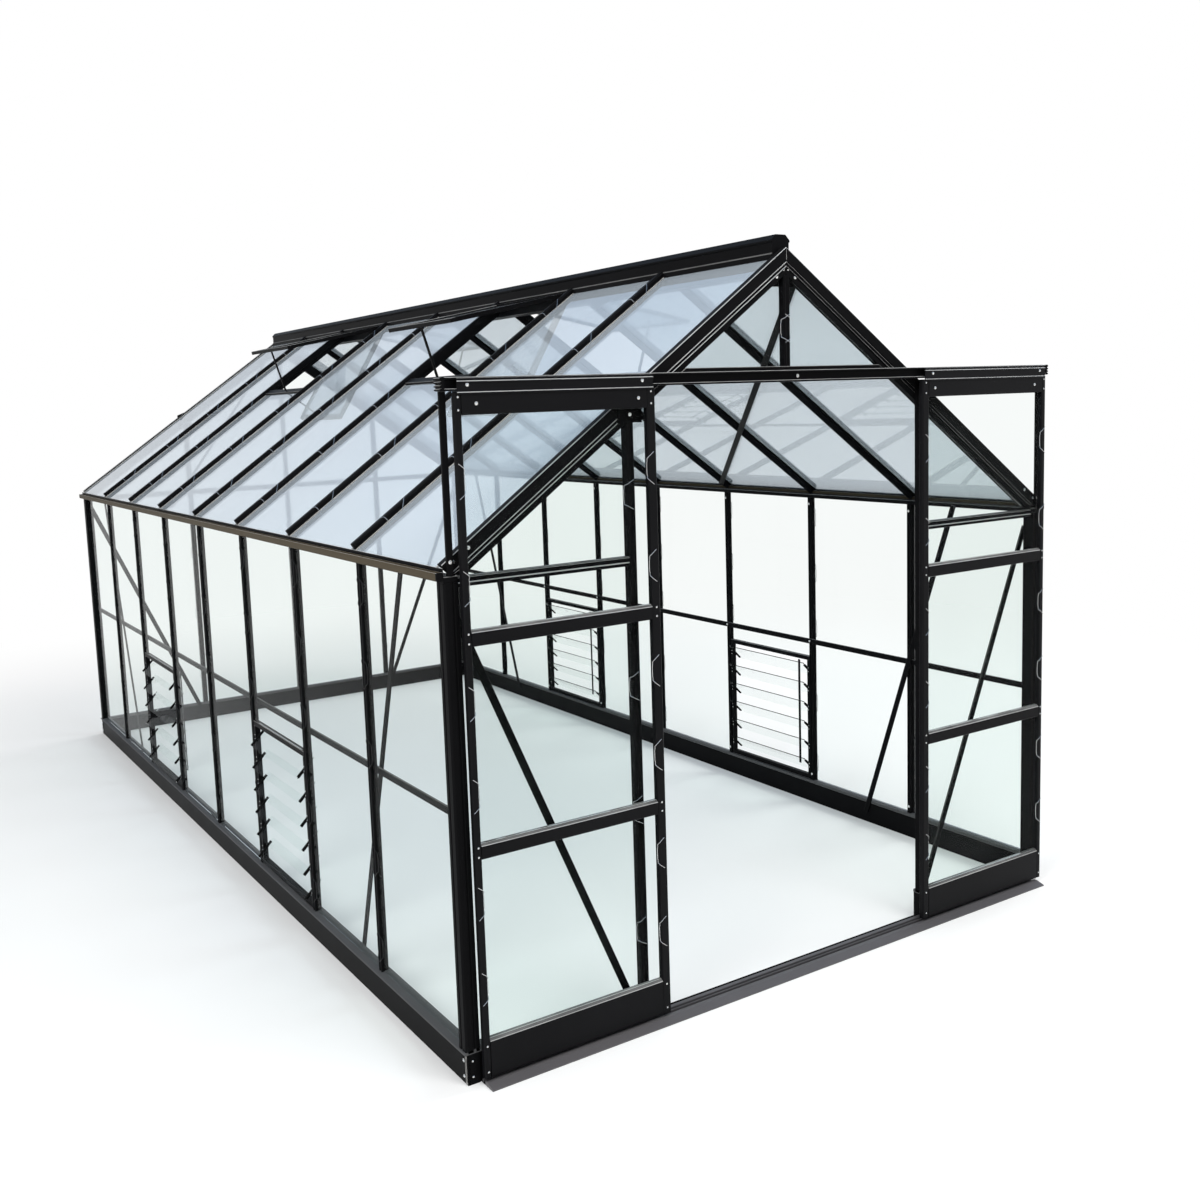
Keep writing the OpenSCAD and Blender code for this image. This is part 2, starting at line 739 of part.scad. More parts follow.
side_base_rails();
end_base_rails();
side_sills();
end_sills();
corner_posts();
wall_bars();
wall_mid_rails();
wall_braces();
eave_beams();
gutters();
ridge_beam();
roof_bars();
gable_rafters();
door_jambs();
tie_bar();
king_post();
back_mullions();
gable_eave_rails();
gable_braces();
gusset_plates();
roof_braces();
door_track();
track_lips();
track_struts();
threshold();
wall_panes();
roof_panes();
front_gable_panes();
back_gable_panes();
louvre_rails();
louvre_holders();
louvre_blades();
vent_side_rails();
vent_cross_rails();
vent_panes();
vent_sills();
vent_stays();
left_door_stiles();
left_door_rails();
left_door_panes();
left_door_hanger();
left_door_wheels();
right_door_stiles();
right_door_rails();
right_door_panes();
right_door_hanger();
right_door_wheels();
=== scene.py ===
# %% [markdown]
# # A glazed sunroom, dressed over its CAD frame
# The CAD model gives every bar as a plain block in its true place. All places come from the
# frame, so nothing has to be fitted by eye.

# %% Load the frame
import math

import bmesh
import bpy
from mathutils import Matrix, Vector


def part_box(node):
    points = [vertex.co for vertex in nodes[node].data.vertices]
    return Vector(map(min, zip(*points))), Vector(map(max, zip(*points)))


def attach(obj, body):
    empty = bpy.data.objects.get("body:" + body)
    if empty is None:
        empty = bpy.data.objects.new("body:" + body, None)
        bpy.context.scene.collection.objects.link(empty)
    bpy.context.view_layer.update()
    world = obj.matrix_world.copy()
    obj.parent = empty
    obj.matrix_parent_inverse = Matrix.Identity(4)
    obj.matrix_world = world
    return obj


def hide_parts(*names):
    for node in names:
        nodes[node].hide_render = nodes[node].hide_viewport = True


def show(thing):
    bpy.context.scene.collection.objects.link(thing)


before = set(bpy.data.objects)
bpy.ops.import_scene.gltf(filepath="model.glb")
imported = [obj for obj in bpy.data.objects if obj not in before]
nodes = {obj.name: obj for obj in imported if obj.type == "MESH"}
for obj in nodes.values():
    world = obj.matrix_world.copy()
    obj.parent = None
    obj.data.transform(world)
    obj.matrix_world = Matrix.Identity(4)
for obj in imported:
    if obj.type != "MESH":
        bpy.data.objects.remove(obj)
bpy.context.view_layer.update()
print("frame loaded with", len(nodes), "nodes")

# %% [markdown]
# The sections below are drawn in millimetres, because that is how a bar is measured. The main
# lines of the room are read from the boxes of the CAD nodes. The two sides are told apart by a
# sign, and each gable comes with the way that it looks. One function knows the roof's slope: it
# gives the height of a point n above the underside of the roof bars.

# %% Main lines of the room, in millimetres
MM = 0.001
POST = 46
BAYS = 8
BAR_W, BAR_D = 28, 28
FRAME_T, JAMB_W, KING_W = 28, 28, 24
ROOF_D, RAFTER, ROOF_TOP = 40, 70, 53
PITCH = math.radians(35.2)
BOTH = (1, -1)


def box_mm(node):
    low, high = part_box(node)
    return low / MM, high / MM


post_low, post_high = box_mm("corner_posts")
wall_out = post_high.x
half = wall_out - POST / 2
y_front, y_back = post_low.y + POST / 2, post_high.y - POST / 2
sill_top, wall_top = post_low.z, post_high.z
bay = (y_back - y_front) / BAYS
eave = box_mm("eave_beams")[1].z
jamb_x = box_mm("door_jambs")[1].x - JAMB_W / 2
bars_y = [y_back - bay * i for i in range(BAYS + 1)]
gables = ((y_front, -1), (y_back, 1))
corners = [(side, y_mid, out) for side in BOTH for y_mid, out in gables]


def roof_z(x, n):
    return eave + (half - abs(x)) * math.tan(PITCH) + n / math.cos(PITCH)


def rafter_z(x):
    return roof_z(x, ROOF_D - RAFTER)


print("half width", round(half), "front", round(y_front), "bay", round(bay), "eave", round(eave))

# %% [markdown]
# ## Camera
# The camera was solved from the corners of the plinth, the bars and the doors in the photograph,
# so it stands where the photographer stood. Its shift is small and belongs to the crop.

# %% Camera
camera = bpy.data.objects.new("camera", bpy.data.cameras.new("camera"))
show(camera)
camera.location = (-2.8011, -5.5256, 1.9866)
camera.rotation_euler = [math.radians(a) for a in (83.015, 2.005, -32.563)]
camera.data.sensor_width = 36
camera.data.lens = 36.702
camera.data.shift_x, camera.data.shift_y = 0.0213, -0.0397
bpy.context.scene.camera = camera
bpy.context.scene.view_settings.view_transform = "Standard"
print("camera at", tuple(round(c, 2) for c in camera.location))

# %% [markdown]
# ## Light and stage
# Black bars and clear sheet show by what they reflect. A pale sky does most of the work: white
# at the horizon and a little blue higher up, which is what the roof sheets mirror. Large soft
# lamps shape the bars, and are hidden from mirrors, because a lamp would show in the roof as a
# white disc. The floor is pale and keeps the shadow.


# %% Node helpers
def link(tree, *pairs):
    for out, into in pairs:
        tree.links.new(out, into)


def give(node, **values):
    """Sets inputs of a node by their names, with _ for a space."""
    for label, value in values.items():
        node.inputs[label.replace("_", " ")].default_value = value


def math_node(tree, operation, a, b):
    node = tree.nodes.new("ShaderNodeMath")
    node.operation = operation
    for socket, value in zip(node.inputs, (a, b)):
        if isinstance(value, (int, float)):
            socket.default_value = value
        else:
            tree.links.new(value, socket)
    return node.outputs[0]


def on_object(tree):
    return tree.nodes.new("ShaderNodeTexCoord").outputs["Object"]


def ramp(tree, value, low=0.0, high=1.0, start=0.0, end=1.0, kind="LINEAR"):
    """The value, spread from the span start to end onto the span low to high."""
    node = tree.nodes.new("ShaderNodeMapRange")
    node.interpolation_type = kind
    give(node, From_Min=start, From_Max=end, To_Min=low, To_Max=high)
    tree.links.new(value, node.inputs["Value"])
    return node.outputs["Result"]


def mix_colour(tree, factor, a, b):
    node = tree.nodes.new("ShaderNodeMix")
    node.data_type = "RGBA"
    tree.links.new(factor, node.inputs[0])
    for socket, value in ((node.inputs["A"], a), (node.inputs["B"], b)):
        if isinstance(value, tuple):
            socket.default_value = (*value, 1)
        else:
            tree.links.new(value, socket)
    return node.outputs["Result"]


def new_finish(name):
    """A material with its node tree and its Principled shader."""
    finish = bpy.data.materials.new(name)
    finish.use_nodes = True
    return finish, finish.node_tree, finish.node_tree.nodes["Principled BSDF"]


def put_out(tree, factor, first, second, output):
    """Puts out the first shader where the factor is 0 and the second where it is 1."""
    mixed = tree.nodes.new("ShaderNodeMixShader")
    link(tree, (factor, mixed.inputs[0]), (first.outputs[0], mixed.inputs[1]),
         (second.outputs[0], mixed.inputs[2]), (mixed.outputs[0], output.inputs["Surface"]))


def seen_rays(tree):
    """1 for rays that show the background: from the camera, from a mirror or through a sheet."""
    path = tree.nodes.new("ShaderNodeLightPath").outputs
    through = math_node(tree, "MAXIMUM", path["Is Camera Ray"], path["Is Transmission Ray"])
    return math_node(tree, "MAXIMUM", through, path["Is Glossy Ray"]), path["Is Glossy Ray"]


# %% Sky
SKY_BLUE, SKY_LIGHT, SKY_POWER = (0.36, 0.49, 0.68), (0.95, 0.97, 1, 1), 0.6
HORIZON, HIGH_UP = 0.16, 0.5


def sky_world():
    world = bpy.data.worlds.new("pale_sky")
    world.use_nodes = True
    tree = world.node_tree
    tree.nodes.clear()
    new = tree.nodes.new
    shown, lit = new("ShaderNodeBackground"), new("ShaderNodeBackground")
    give(lit, Color=SKY_LIGHT, Strength=SKY_POWER)
    split = new("ShaderNodeSeparateXYZ")
    link(tree, (new("ShaderNodeTexCoord").outputs["Generated"], split.inputs[0]))
    seen, mirrored = seen_rays(tree)
    blue = math_node(tree, "MULTIPLY", ramp(tree, split.outputs["Z"], start=HORIZON, end=HIGH_UP), mirrored)
    link(tree, (mix_colour(tree, blue, (1, 1, 1), SKY_BLUE), shown.inputs["Color"]))
    put_out(tree, seen, lit, shown, new("ShaderNodeOutputWorld"))
    return world


bpy.context.scene.world = sky_world()
print("world:", bpy.context.scene.world.name)


# %% Lamps
def soft_lamp(name, place, target, size, power):
    data = bpy.data.lights.new(name, "AREA")
    data.shape, data.size, data.energy = "DISK", size, power
    lamp = bpy.data.objects.new(name, data)
    lamp.location = place
    lamp.rotation_euler = (Vector(target) - Vector(place)).to_track_quat("-Z", "Y").to_euler()
    lamp.visible_glossy = lamp.visible_transmission = False
    show(lamp)


soft_lamp("lamp_left", (-7.5, -4.0, 6.0), (0, 0, 1), 5.0, 520)
soft_lamp("lamp_front", (0.0, -5.5, 7.0), (0, -1.5, 1.5), 3.0, 220)
soft_lamp("lamp_right", (5.8, -2.5, 8.0), (0, -2, 1.5), 3.5, 300)
soft_lamp("lamp_back", (7.5, 4.5, 6.0), (0, 0, 1), 5.0, 250)
print("lamps:", len(bpy.data.lights))

# %% Floor
FLOOR_SIZE = 60
FADE_FROM, FADE_TO, LEAST_WHITE = 2.6, 6.5, 0.12


def floor_finish():
    """Pale and matt under the part, and pure white for the eye further out."""
    finish, tree, plain = new_finish("stage_floor")
    give(plain, Base_Color=(0.83, 0.83, 0.82, 1), Roughness=0.9)
    white, length = tree.nodes.new("ShaderNodeEmission"), tree.nodes.new("ShaderNodeVectorMath")
    length.operation = "LENGTH"
    link(tree, (on_object(tree), length.inputs[0]))
    fade = ramp(tree, length.outputs["Value"], LEAST_WHITE, 1, FADE_FROM, FADE_TO, "SMOOTHSTEP")
    put_out(tree, math_node(tree, "MULTIPLY", fade, seen_rays(tree)[0]), plain, white,
            tree.nodes["Material Output"])
    return finish


floor_mesh = bpy.data.meshes.new("stage_floor")
corner = FLOOR_SIZE / 2
floor_mesh.from_pydata([(-corner, -corner, 0), (corner, -corner, 0), (corner, corner, 0),
                        (-corner, corner, 0)], [], [(0, 1, 2, 3)])
floor_mesh.materials.append(floor_finish())
floor = bpy.data.objects.new("stage_floor", floor_mesh)
show(floor)
print("floor of", FLOOR_SIZE, "m")

# %% [markdown]
# ## Finishes
# The frame is black powder coat: satin, with a fine grain and a little uneven in gloss. The faces
# that look up are lightened by dust and by a painted sheen. Narrow edges that look up carry a
# painted highlight, a light metallic colour that draws the fine light lines along the bars. Grain,
# dust with sheen, edge highlights and brushed lines are used by several finishes, so each is a node
# group that puts out masks and heights, and every finish sets its own amounts.


# %% Shared effects
def effect_group(name, inputs, outputs):
    tree = bpy.data.node_groups.new(name, "ShaderNodeTree")
    for label, value in inputs.items():
        kind = "NodeSocketVector" if isinstance(value, tuple) else "NodeSocketFloat"
        socket = tree.interface.new_socket(label, in_out="INPUT", socket_type=kind)
        socket.default_value = value
    for label in outputs:
        tree.interface.new_socket(label, in_out="OUTPUT", socket_type="NodeSocketFloat")
    return tree, tree.nodes.new("NodeGroupInput"), tree.nodes.new("NodeGroupOutput")


def noise(tree, vector, scale, detail=2.0):
    node = tree.nodes.new("ShaderNodeTexNoise")
    give(node, Detail=detail)
    if isinstance(scale, (int, float)):
        node.inputs["Scale"].default_value = scale
    else:
        tree.links.new(scale, node.inputs["Scale"])
    tree.links.new(vector, node.inputs["Vector"])
    return node.outputs["Fac"]


def grain_group():
    tree, given, made = effect_group("coat_grain", {"Grain Scale": 900.0, "Patch Scale": 3.0},
                                     ("Patch", "Height"))
    place = on_object(tree)
    link(tree, (noise(tree, place, given.outputs["Patch Scale"], 4.0), made.inputs["Patch"]),
         (noise(tree, place, given.outputs["Grain Scale"]), made.inputs["Height"]))
    return tree


# Dust on faces that look up, which also stands in for a painted sheen of the sky on those faces.
def dust_and_sheen_group():
    tree, _, made = effect_group("settled_dust", {}, ("Dust",))
    split = tree.nodes.new("ShaderNodeSeparateXYZ")
    link(tree, (tree.nodes.new("ShaderNodeNewGeometry").outputs["Normal"], split.inputs[0]))
    speck = math_node(tree, "MULTIPLY", noise(tree, on_object(tree), 11.0, 6.0), 1.2)
    upward = ramp(tree, split.outputs["Z"], start=0.35)
    link(tree, (math_node(tree, "MULTIPLY", upward, speck), made.inputs["Dust"]))
    return tree


def brushed_group():
    tree, given, made = effect_group("brushed_lines", {"Stretch": (900.0, 12.0, 900.0)}, ("Streak",))
    scaled = tree.nodes.new("ShaderNodeVectorMath")
    scaled.operation = "MULTIPLY"
    link(tree, (on_object(tree), scaled.inputs[0]), (given.outputs["Stretch"], scaled.inputs[1]))
    link(tree, (noise(tree, scaled.outputs[0], 1.0, 3.0), made.inputs["Streak"]))
    return tree


# Painted edge highlight: a mask of the faces marked lit_edge, made uneven by soft patches.
def edge_highlight_group():
    tree, given, made = effect_group("edge_wear", {"Amount": 0.8, "Patch Scale": 9.0}, ("Highlight",))
    mark = tree.nodes.new("ShaderNodeAttribute")
    mark.attribute_name = "lit_edge"
    patch = noise(tree, on_object(tree), given.outputs["Patch Scale"], 3.0)
    uneven = math_node(tree, "ADD", patch, 0.4)
    lit_edge = math_node(tree, "MULTIPLY", mark.outputs["Fac"], uneven)
    link(tree, (math_node(tree, "MULTIPLY", lit_edge, given.outputs["Amount"]), made.inputs["Highlight"]))
    return tree


effects = {"grain": grain_group(), "dust_and_sheen": dust_and_sheen_group(), "brushed": brushed_group(), "edge_highlight": edge_highlight_group()}
print("effects:", ", ".join(effects))


# %% Finish makers
def place_effect(tree, name, **amounts):
    node = tree.nodes.new("ShaderNodeGroup")
    node.node_tree = effects[name]
    give(node, **amounts)
    return node.outputs


def bump(tree, height, shader, distance, strength=0.5):
    node = tree.nodes.new("ShaderNodeBump")
    give(node, Distance=distance, Strength=strength)
    link(tree, (height, node.inputs["Height"]), (node.outputs["Normal"], shader.inputs["Normal"]))


# Colour and metallic amount of the painted edge highlight.
HIGHLIGHT_COLOUR, HIGHLIGHT_METALLIC = (0.74, 0.73, 0.7), 0.6


def coat(name, dark, light, dust_and_sheen, rough, gloss=0.03, grain_mm=0.06, dust_and_sheen_share=1.0, edge_highlight=0.8):
    """Powder coat: two close tones in soft patches, fine grain, dust and painted sheen on top, and painted
    highlights on narrow edges.
    """
    finish, tree, shader = new_finish(name)
    give(shader, Specular_IOR_Level=gloss)
    grain = place_effect(tree, "grain", Patch_Scale=2.6)
    tone = mix_colour(tree, grain["Patch"], dark, light)
    layer = math_node(tree, "MULTIPLY", place_effect(tree, "dust_and_sheen")["Dust"], dust_and_sheen_share)
    # The painted highlight lays a light metallic colour on narrow faces that look up.
    painted_highlight = place_effect(tree, "edge_highlight", Amount=edge_highlight)["Highlight"]
    dust_and_sheen_tone = mix_colour(tree, layer, tone, dust_and_sheen)
    link(tree, (mix_colour(tree, painted_highlight, dust_and_sheen_tone, HIGHLIGHT_COLOUR), shader.inputs["Base Color"]),
         (math_node(tree, "MULTIPLY", painted_highlight, HIGHLIGHT_METALLIC), shader.inputs["Metallic"]),
         (ramp(tree, grain["Patch"], *rough), shader.inputs["Roughness"]))
    bump(tree, grain["Height"], shader, grain_mm * MM)
    return finish


def bare_metal(name, dark, light, rough, stretch, metallic=1.0, line_mm=0.05):
    """Drawn or plated metal: fine lines along the stretch, in two tones."""
    finish, tree, shader = new_finish(name)
    give(shader, Metallic=metallic)
    lines = place_effect(tree, "brushed", Stretch=stretch)
    patch = place_effect(tree, "grain", Patch_Scale=5.0)["Patch"]
    tone = mix_colour(tree, patch, dark, light)
    link(tree, (mix_colour(tree, lines["Streak"], tone, light), shader.inputs["Base Color"]),
         (ramp(tree, lines["Streak"], *rough), shader.inputs["Roughness"]))
    bump(tree, lines["Streak"], shader, line_mm * MM)
    return finish


# %% Painted, metal and rubber finishes
# The third colour of each coat is dust with a painted sheen, laid on faces that look up.
BLACK = (0.003, 0.003, 0.0034), (0.007, 0.007, 0.0075), (0.05, 0.048, 0.045), (0.3, 0.42)
RUBBER = {"rough": (0.55, 0.7), "gloss": 0.0, "edge_highlight": 0.0}
WIRE_LINES = (500.0, 500.0, 90.0)
black_coat = coat("black_coat", *BLACK, gloss=0.02, dust_and_sheen_share=0.1)
ridge_coat = coat("ridge_coat", *BLACK, gloss=0.02, dust_and_sheen_share=0.1, edge_highlight=0.15)
door_coat = coat("door_coat", (0.004, 0.004, 0.0045), (0.008, 0.008, 0.009), (0.4, 0.4, 0.39),
                 (0.24, 0.36), gloss=0.06, dust_and_sheen_share=0.7)
gutter_coat = coat("gutter_coat", (0.055, 0.044, 0.029), (0.068, 0.055, 0.036), (0.14, 0.12, 0.095),
                   (0.4, 0.55), dust_and_sheen_share=0.5, edge_highlight=0.3)
sill_metal = bare_metal("sill_metal", (0.035, 0.035, 0.036), (0.075, 0.074, 0.074), (0.6, 0.75),
                        (900.0, 9.0, 900.0), metallic=0.1)
threshold_metal = bare_metal("threshold_metal", (0.06, 0.057, 0.058), (0.115, 0.109, 0.112), (0.45, 0.6),
                             (9.0, 900.0, 900.0), metallic=0.2)
zinc = bare_metal("zinc_plate", (0.72, 0.72, 0.7), (0.9, 0.9, 0.88), (0.2, 0.34), (700.0, 700.0, 700.0))
spring_wire = bare_metal("spring_wire", (0.5, 0.5, 0.5), (0.8, 0.8, 0.8), (0.16, 0.3), WIRE_LINES)
dark_wire = bare_metal("dark_wire", (0.03, 0.03, 0.03), (0.07, 0.07, 0.07), (0.3, 0.45), WIRE_LINES)
black_rubber = coat("black_rubber", (0.005, 0.005, 0.005), (0.011, 0.011, 0.011), (0.05, 0.05, 0.046),
                    dust_and_sheen_share=0.1, **RUBBER)
grey_rubber = coat("grey_rubber", (0.26, 0.255, 0.24), (0.38, 0.372, 0.355), (0.4, 0.4, 0.38),
                   dust_and_sheen_share=0.2, **RUBBER)
nylon = coat("wheel_nylon", (0.14, 0.14, 0.14), (0.22, 0.22, 0.21), (0.3, 0.3, 0.28), (0.4, 0.55),
             gloss=0.3)
print("finishes:", len(bpy.data.materials))

# %% [markdown]
# The clear sheet is a real thin slab, so a glass shader bends and mirrors as it should. Lamp rays
# and scattered light pass it unbent, by a transparent shader on shadow and diffuse rays, which
# keeps the inside bright. A very slow bump makes the mirrored sky waver as flat sheet does.
# The walls are clear with a trace of green. The roof mirrors more of the sky, and carries a pale
# blue tint and a thin haze as a painted reflection of the sky, so the bars under it show only faintly.


# %% Clear sheet
def clear_finish(name, ior, tint, through):
    finish, tree, shader = new_finish(name)
    give(shader, Transmission_Weight=through, IOR=ior)
    place = on_object(tree)
    smear = noise(tree, place, 2.2, 5.0)
    link(tree, (ramp(tree, smear, 0.0, 0.035), shader.inputs["Roughness"]),
         (mix_colour(tree, smear, tint, tuple(0.975 * c for c in tint)), shader.inputs["Base Color"]))
    bump(tree, noise(tree, place, 1.4, 1.0), shader, 2.5 * MM, 0.35)
    clear = tree.nodes.new("ShaderNodeBsdfTransparent")
    give(clear, Color=(*tint, 1))
    path = tree.nodes.new("ShaderNodeLightPath").outputs
    unbent = math_node(tree, "MAXIMUM", path["Is Shadow Ray"], path["Is Diffuse Ray"])
    put_out(tree, unbent, shader, clear, tree.nodes["Material Output"])
    return finish


def paint(node, finish):
    """Gives a CAD node that stays in view its finish."""
    nodes[node].data.materials.clear()
    nodes[node].data.materials.append(finish)


wall_sheet_finish = clear_finish("wall_sheet", 1.06, (0.94, 0.968, 0.958), 1.0)
# The roof's pale blue tint and haze are a painted reflection of the sky.
roof_sheet_finish = clear_finish("roof_sheet", 1.45, (0.69, 0.745, 0.79), 0.75)
ROOF_PANES = ("roof_panes", "vent_panes")
WALL_PANES = ("wall_panes", "front_gable_panes", "back_gable_panes", "louvre_blades", "left_door_panes",
              "right_door_panes")
for panes, finish in ((WALL_PANES, wall_sheet_finish), (ROOF_PANES, roof_sheet_finish)):
    for name in panes:
        paint(name, finish)
print("clear sheet on", len(WALL_PANES) + len(ROOF_PANES), "nodes")

# %% [markdown]
# ## How a bar is made
# A bar is a section pushed along a line. `sweep` takes the section's points and a function that
# places a point for each end, so the same section can be cut square, to the slope of the roof
# or on a mitre. Corners are chamfered, because a sharp edge never catches a highlight.


# %% Sections
def chamfer(section, cut):
    """The section with each corner cut back, by less where an edge is short."""
    points = [Vector(p) for p in section]
    cut_section = []
    for i, here in enumerate(points):
        for other in (points[i - 1], points[(i + 1) % len(points)]):
            edge = other - here
            cut_section.append(here + edge * min(cut / edge.length, 0.4))
    return [tuple(p) for p in cut_section]


def rectangle(a0, a1, b0, b1):
    return [(a0, b0), (a1, b0), (a1, b1), (a0, b1)]


# %% Sweep
NARROW = 2.6


def new_bars():
    """An empty mesh that notes on each face whether it is a narrow edge, and how strong a painted highlight
    it carries.
    """
    mesh = bmesh.new()
    for name in ("edge", "lit_edge"):
        mesh.faces.layers.float.new(name)
    return mesh


def sweep(mesh, section, place, ends, lit_edge=0.0):
    """Adds a closed bar: the section at each end, placed by place(a, b, end) in millimetres."""
    edge_layer, lit_edge_layer = (mesh.faces.layers.float[name] for name in ("edge", "lit_edge"))
    rings = [[mesh.verts.new(Vector(place(a, b, end)) * MM) for a, b in section] for end in ends]
    for low, high in zip(rings, rings[1:]):
        for i in range(len(section)):
            face = mesh.faces.new((low[i - 1], low[i], high[i], high[i - 1]))
            face[edge_layer] = math.dist(section[i - 1], section[i]) < NARROW
            face[lit_edge_layer] = lit_edge
    mesh.faces.new(rings[0])
    mesh.faces.new(reversed(rings[-1]))


def along_wall(side):
    """Places a section along a side wall: a is outwards from the wall's middle."""
    return lambda a, z, y: (side * (half + a), y, z)


def along_gable(y_mid, out, side=1):
    """Places a section along a gable: d is outwards from the gable's middle."""
    return lambda d, z, x: (side * x, y_mid + out * d, z)


def standing(side, y_mid, out=1):
    """Places a section upright in a side wall: a is outwards and b along the wall."""
    return lambda a, b, z: (side * (half + a), y_mid + out * b, z)


# %% Pieces
# How far up a face must look for a full painted highlight, and the share of it that eased edges get.
UPWARD, EASED_HIGHLIGHT = 0.5, 0.4


def paint_edge_highlights(mesh):
    """Narrow faces get a painted highlight where they look up, as light from above would catch them there."""
    edge_layer, lit_edge_layer = (mesh.faces.layers.float[name] for name in ("edge", "lit_edge"))
    mesh.normal_update()
    for face in mesh.faces:
        upward = min(max(face.normal.z / UPWARD, 0), 1)
        face[lit_edge_layer] = max(face[lit_edge_layer], face[edge_layer] * upward)
    mesh.faces.layers.float.remove(edge_layer)


def finish_piece(name, mesh, finish=black_coat, body="room", stands_for=()):
    """Turns a bmesh into a piece of the model that rides on a body."""
    bmesh.ops.recalc_face_normals(mesh, faces=mesh.faces[:])
    paint_edge_highlights(mesh)
    data = bpy.data.meshes.new(name)
    mesh.to_mesh(data)
    mesh.free()
    return add_piece(name, data, finish, body, stands_for)


def add_piece(name, data, finish, body="room", stands_for=()):
    data.materials.clear()
    data.materials.append(finish)
    piece = bpy.data.objects.new(name, data)
    show(piece)
    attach(piece, body)
    if stands_for:
        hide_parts(*stands_for)
    print(f"{name}: {len(data.polygons)} faces")
    return piece


def eased_copy(name, stands_for, finish=black_coat, body="room", ease=1.5):
    """The blocks of some CAD nodes with their long edges eased, for bars with a plain section."""
    mesh = bmesh.new()
    for node in stands_for:
        mesh.from_mesh(nodes[node].data)
    edge_layer = [mesh.faces.layers.float.new(layer) for layer in ("edge", "lit_edge")][0]
    bmesh.ops.remove_doubles(mesh, verts=mesh.verts[:], dist=1e-5)
    bmesh.ops.dissolve_limit(mesh, angle_limit=math.radians(1), verts=mesh.verts[:], edges=mesh.edges[:])
    sharp = [e for e in mesh.edges if len(e.link_faces) == 2 and e.calc_face_angle() > math.radians(25)]
    eased = bmesh.ops.bevel(mesh, geom=sharp, offset=ease * MM, segments=2, profile=0.5, affect="EDGES",
                            clamp_overlap=True)
    for face in eased["faces"]:
        face[edge_layer] = EASED_HIGHLIGHT
    return finish_piece(name, mesh, finish, body, stands_for)


# %% [markdown]
# ## Plinth, sills and threshold
# The plinth is a plain black rail, bolted through a ribbed corner bracket. The grey sill on it
# slopes outwards to shed rain and comes in lengths, so fine seams show. The threshold has a grey
# band in the doorway, then grooves whose black floors are painted shade, with a grey rib between
# them, and a grey ramp in front.

# %% Plinth
RECESS = 2
base_high = box_mm("side_base_rails")[1].z
plinth_section = chamfer(rectangle(RECESS - POST / 2, POST / 2 - RECESS, 0, base_high), 0.8)
plinth = new_bars()
ends_y = (y_front - POST / 2, y_back + POST / 2)
wall_in = half - POST / 2
doorway_x = jamb_x - JAMB_W / 2
for side in BOTH:
    sweep(plinth, plinth_section, along_wall(side), ends_y)
    sweep(plinth, plinth_section, along_gable(y_front, -1, side), (doorway_x, wall_in))
sweep(plinth, plinth_section, along_gable(y_back, 1), (-wall_in, wall_in))
finish_piece("plinth_rails", plinth, stands_for=("side_base_rails", "end_base_rails"))

# %% Plinth corner brackets
BRACKET_W, BRACKET_T, BRACKET_END = 30, 1.5, 12
# The ribs carry a painted highlight, which draws their light lines.
RIB, RIB_END, RIB_HIGHLIGHT = 3, 2, 0.55
brackets = new_bars()
edge = POST / 2
bracket_face = edge - RECESS
bracket_section = rectangle(bracket_face, bracket_face + BRACKET_T, edge - BRACKET_W, edge)
rib_sections = []
for at in (edge - RIB, edge - 3 * RIB):
    rib_sections += [rectangle(edge - RIB, edge, at - RIB, at), rectangle(at - RIB, at, edge - RIB, edge)]
for corner in corners:
    sweep(brackets, bracket_section, standing(*corner), (BRACKET_END, base_high - BRACKET_END))
    for section in rib_sections:
        sweep(brackets, chamfer(section, 0.8), standing(*corner), (RIB_END, base_high - RIB_END),
              lit_edge=RIB_HIGHLIGHT)
finish_piece("corner_brackets", brackets)

# %% Sills
SEAM, SEAM_BARS = 1.5, (6, 4, 2)
side_sill = chamfer([(-23, base_high), (29, base_high), (29, base_high + 4), (26, base_high + 6),
                     (2, sill_top), (-23, sill_top)], 1.0)
end_sill = chamfer([(-23, base_high), (23, base_high), (23, base_high + 5), (2, sill_top),
                    (-23, sill_top)], 1.0)
sills = new_bars()
seams = [ends_y[0]] + [bars_y[i] for i in SEAM_BARS] + [ends_y[1]]
for side in BOTH:
    for low, high in zip(seams, seams[1:]):
        sweep(sills, side_sill, along_wall(side), (low, high - (SEAM if high < ends_y[1] else 0)))
    sweep(sills, end_sill, along_gable(y_front, -1, side), (doorway_x, wall_in))
sweep(sills, end_sill, along_gable(y_back, 1), (-wall_in, wall_in))
finish_piece("sill_strips", sills, sill_metal, stands_for=("side_sills", "end_sills"))

# %% Threshold
PLAY = 0.3
threshold_x = box_mm("threshold")[1].x
groove_x = doorway_x - PLAY
threshold_base, threshold_strip = new_bars(), new_bars()
# The rear rail is black; the black floors of the grooves are painted shade.
for mesh, reach, section in ((threshold_base, groove_x, rectangle(-5, 4, 0, 14)),
                             (threshold_strip, groove_x, rectangle(4, 19, 0, 13.5)),
                             (threshold_base, groove_x, rectangle(19, 23, 0, 3)),
                             (threshold_base, threshold_x, rectangle(23, 46, 0, 3)),
                             (threshold_strip, threshold_x, rectangle(30, 34, 3, 13)),
                             (threshold_strip, threshold_x, [(46, 0), (93, 0), (93, 4), (62, 13), (46, 13)])):
    sweep(mesh, chamfer(section, 0.8), along_gable(y_front, -1), (-reach, reach))
finish_piece("threshold_base", threshold_base, black_rubber)
finish_piece("threshold_strip", threshold_strip, threshold_metal,
             stands_for=("threshold",))

# %% [markdown]
# ## Posts, wall bars and roof bars
# A glazing bar is a T: a cap that the sheets lie against, a thinner web inside and a slot for
# bolt heads. The roof bar has a raised cap. Corner posts carry grooves for the sheets on
# both outer faces.

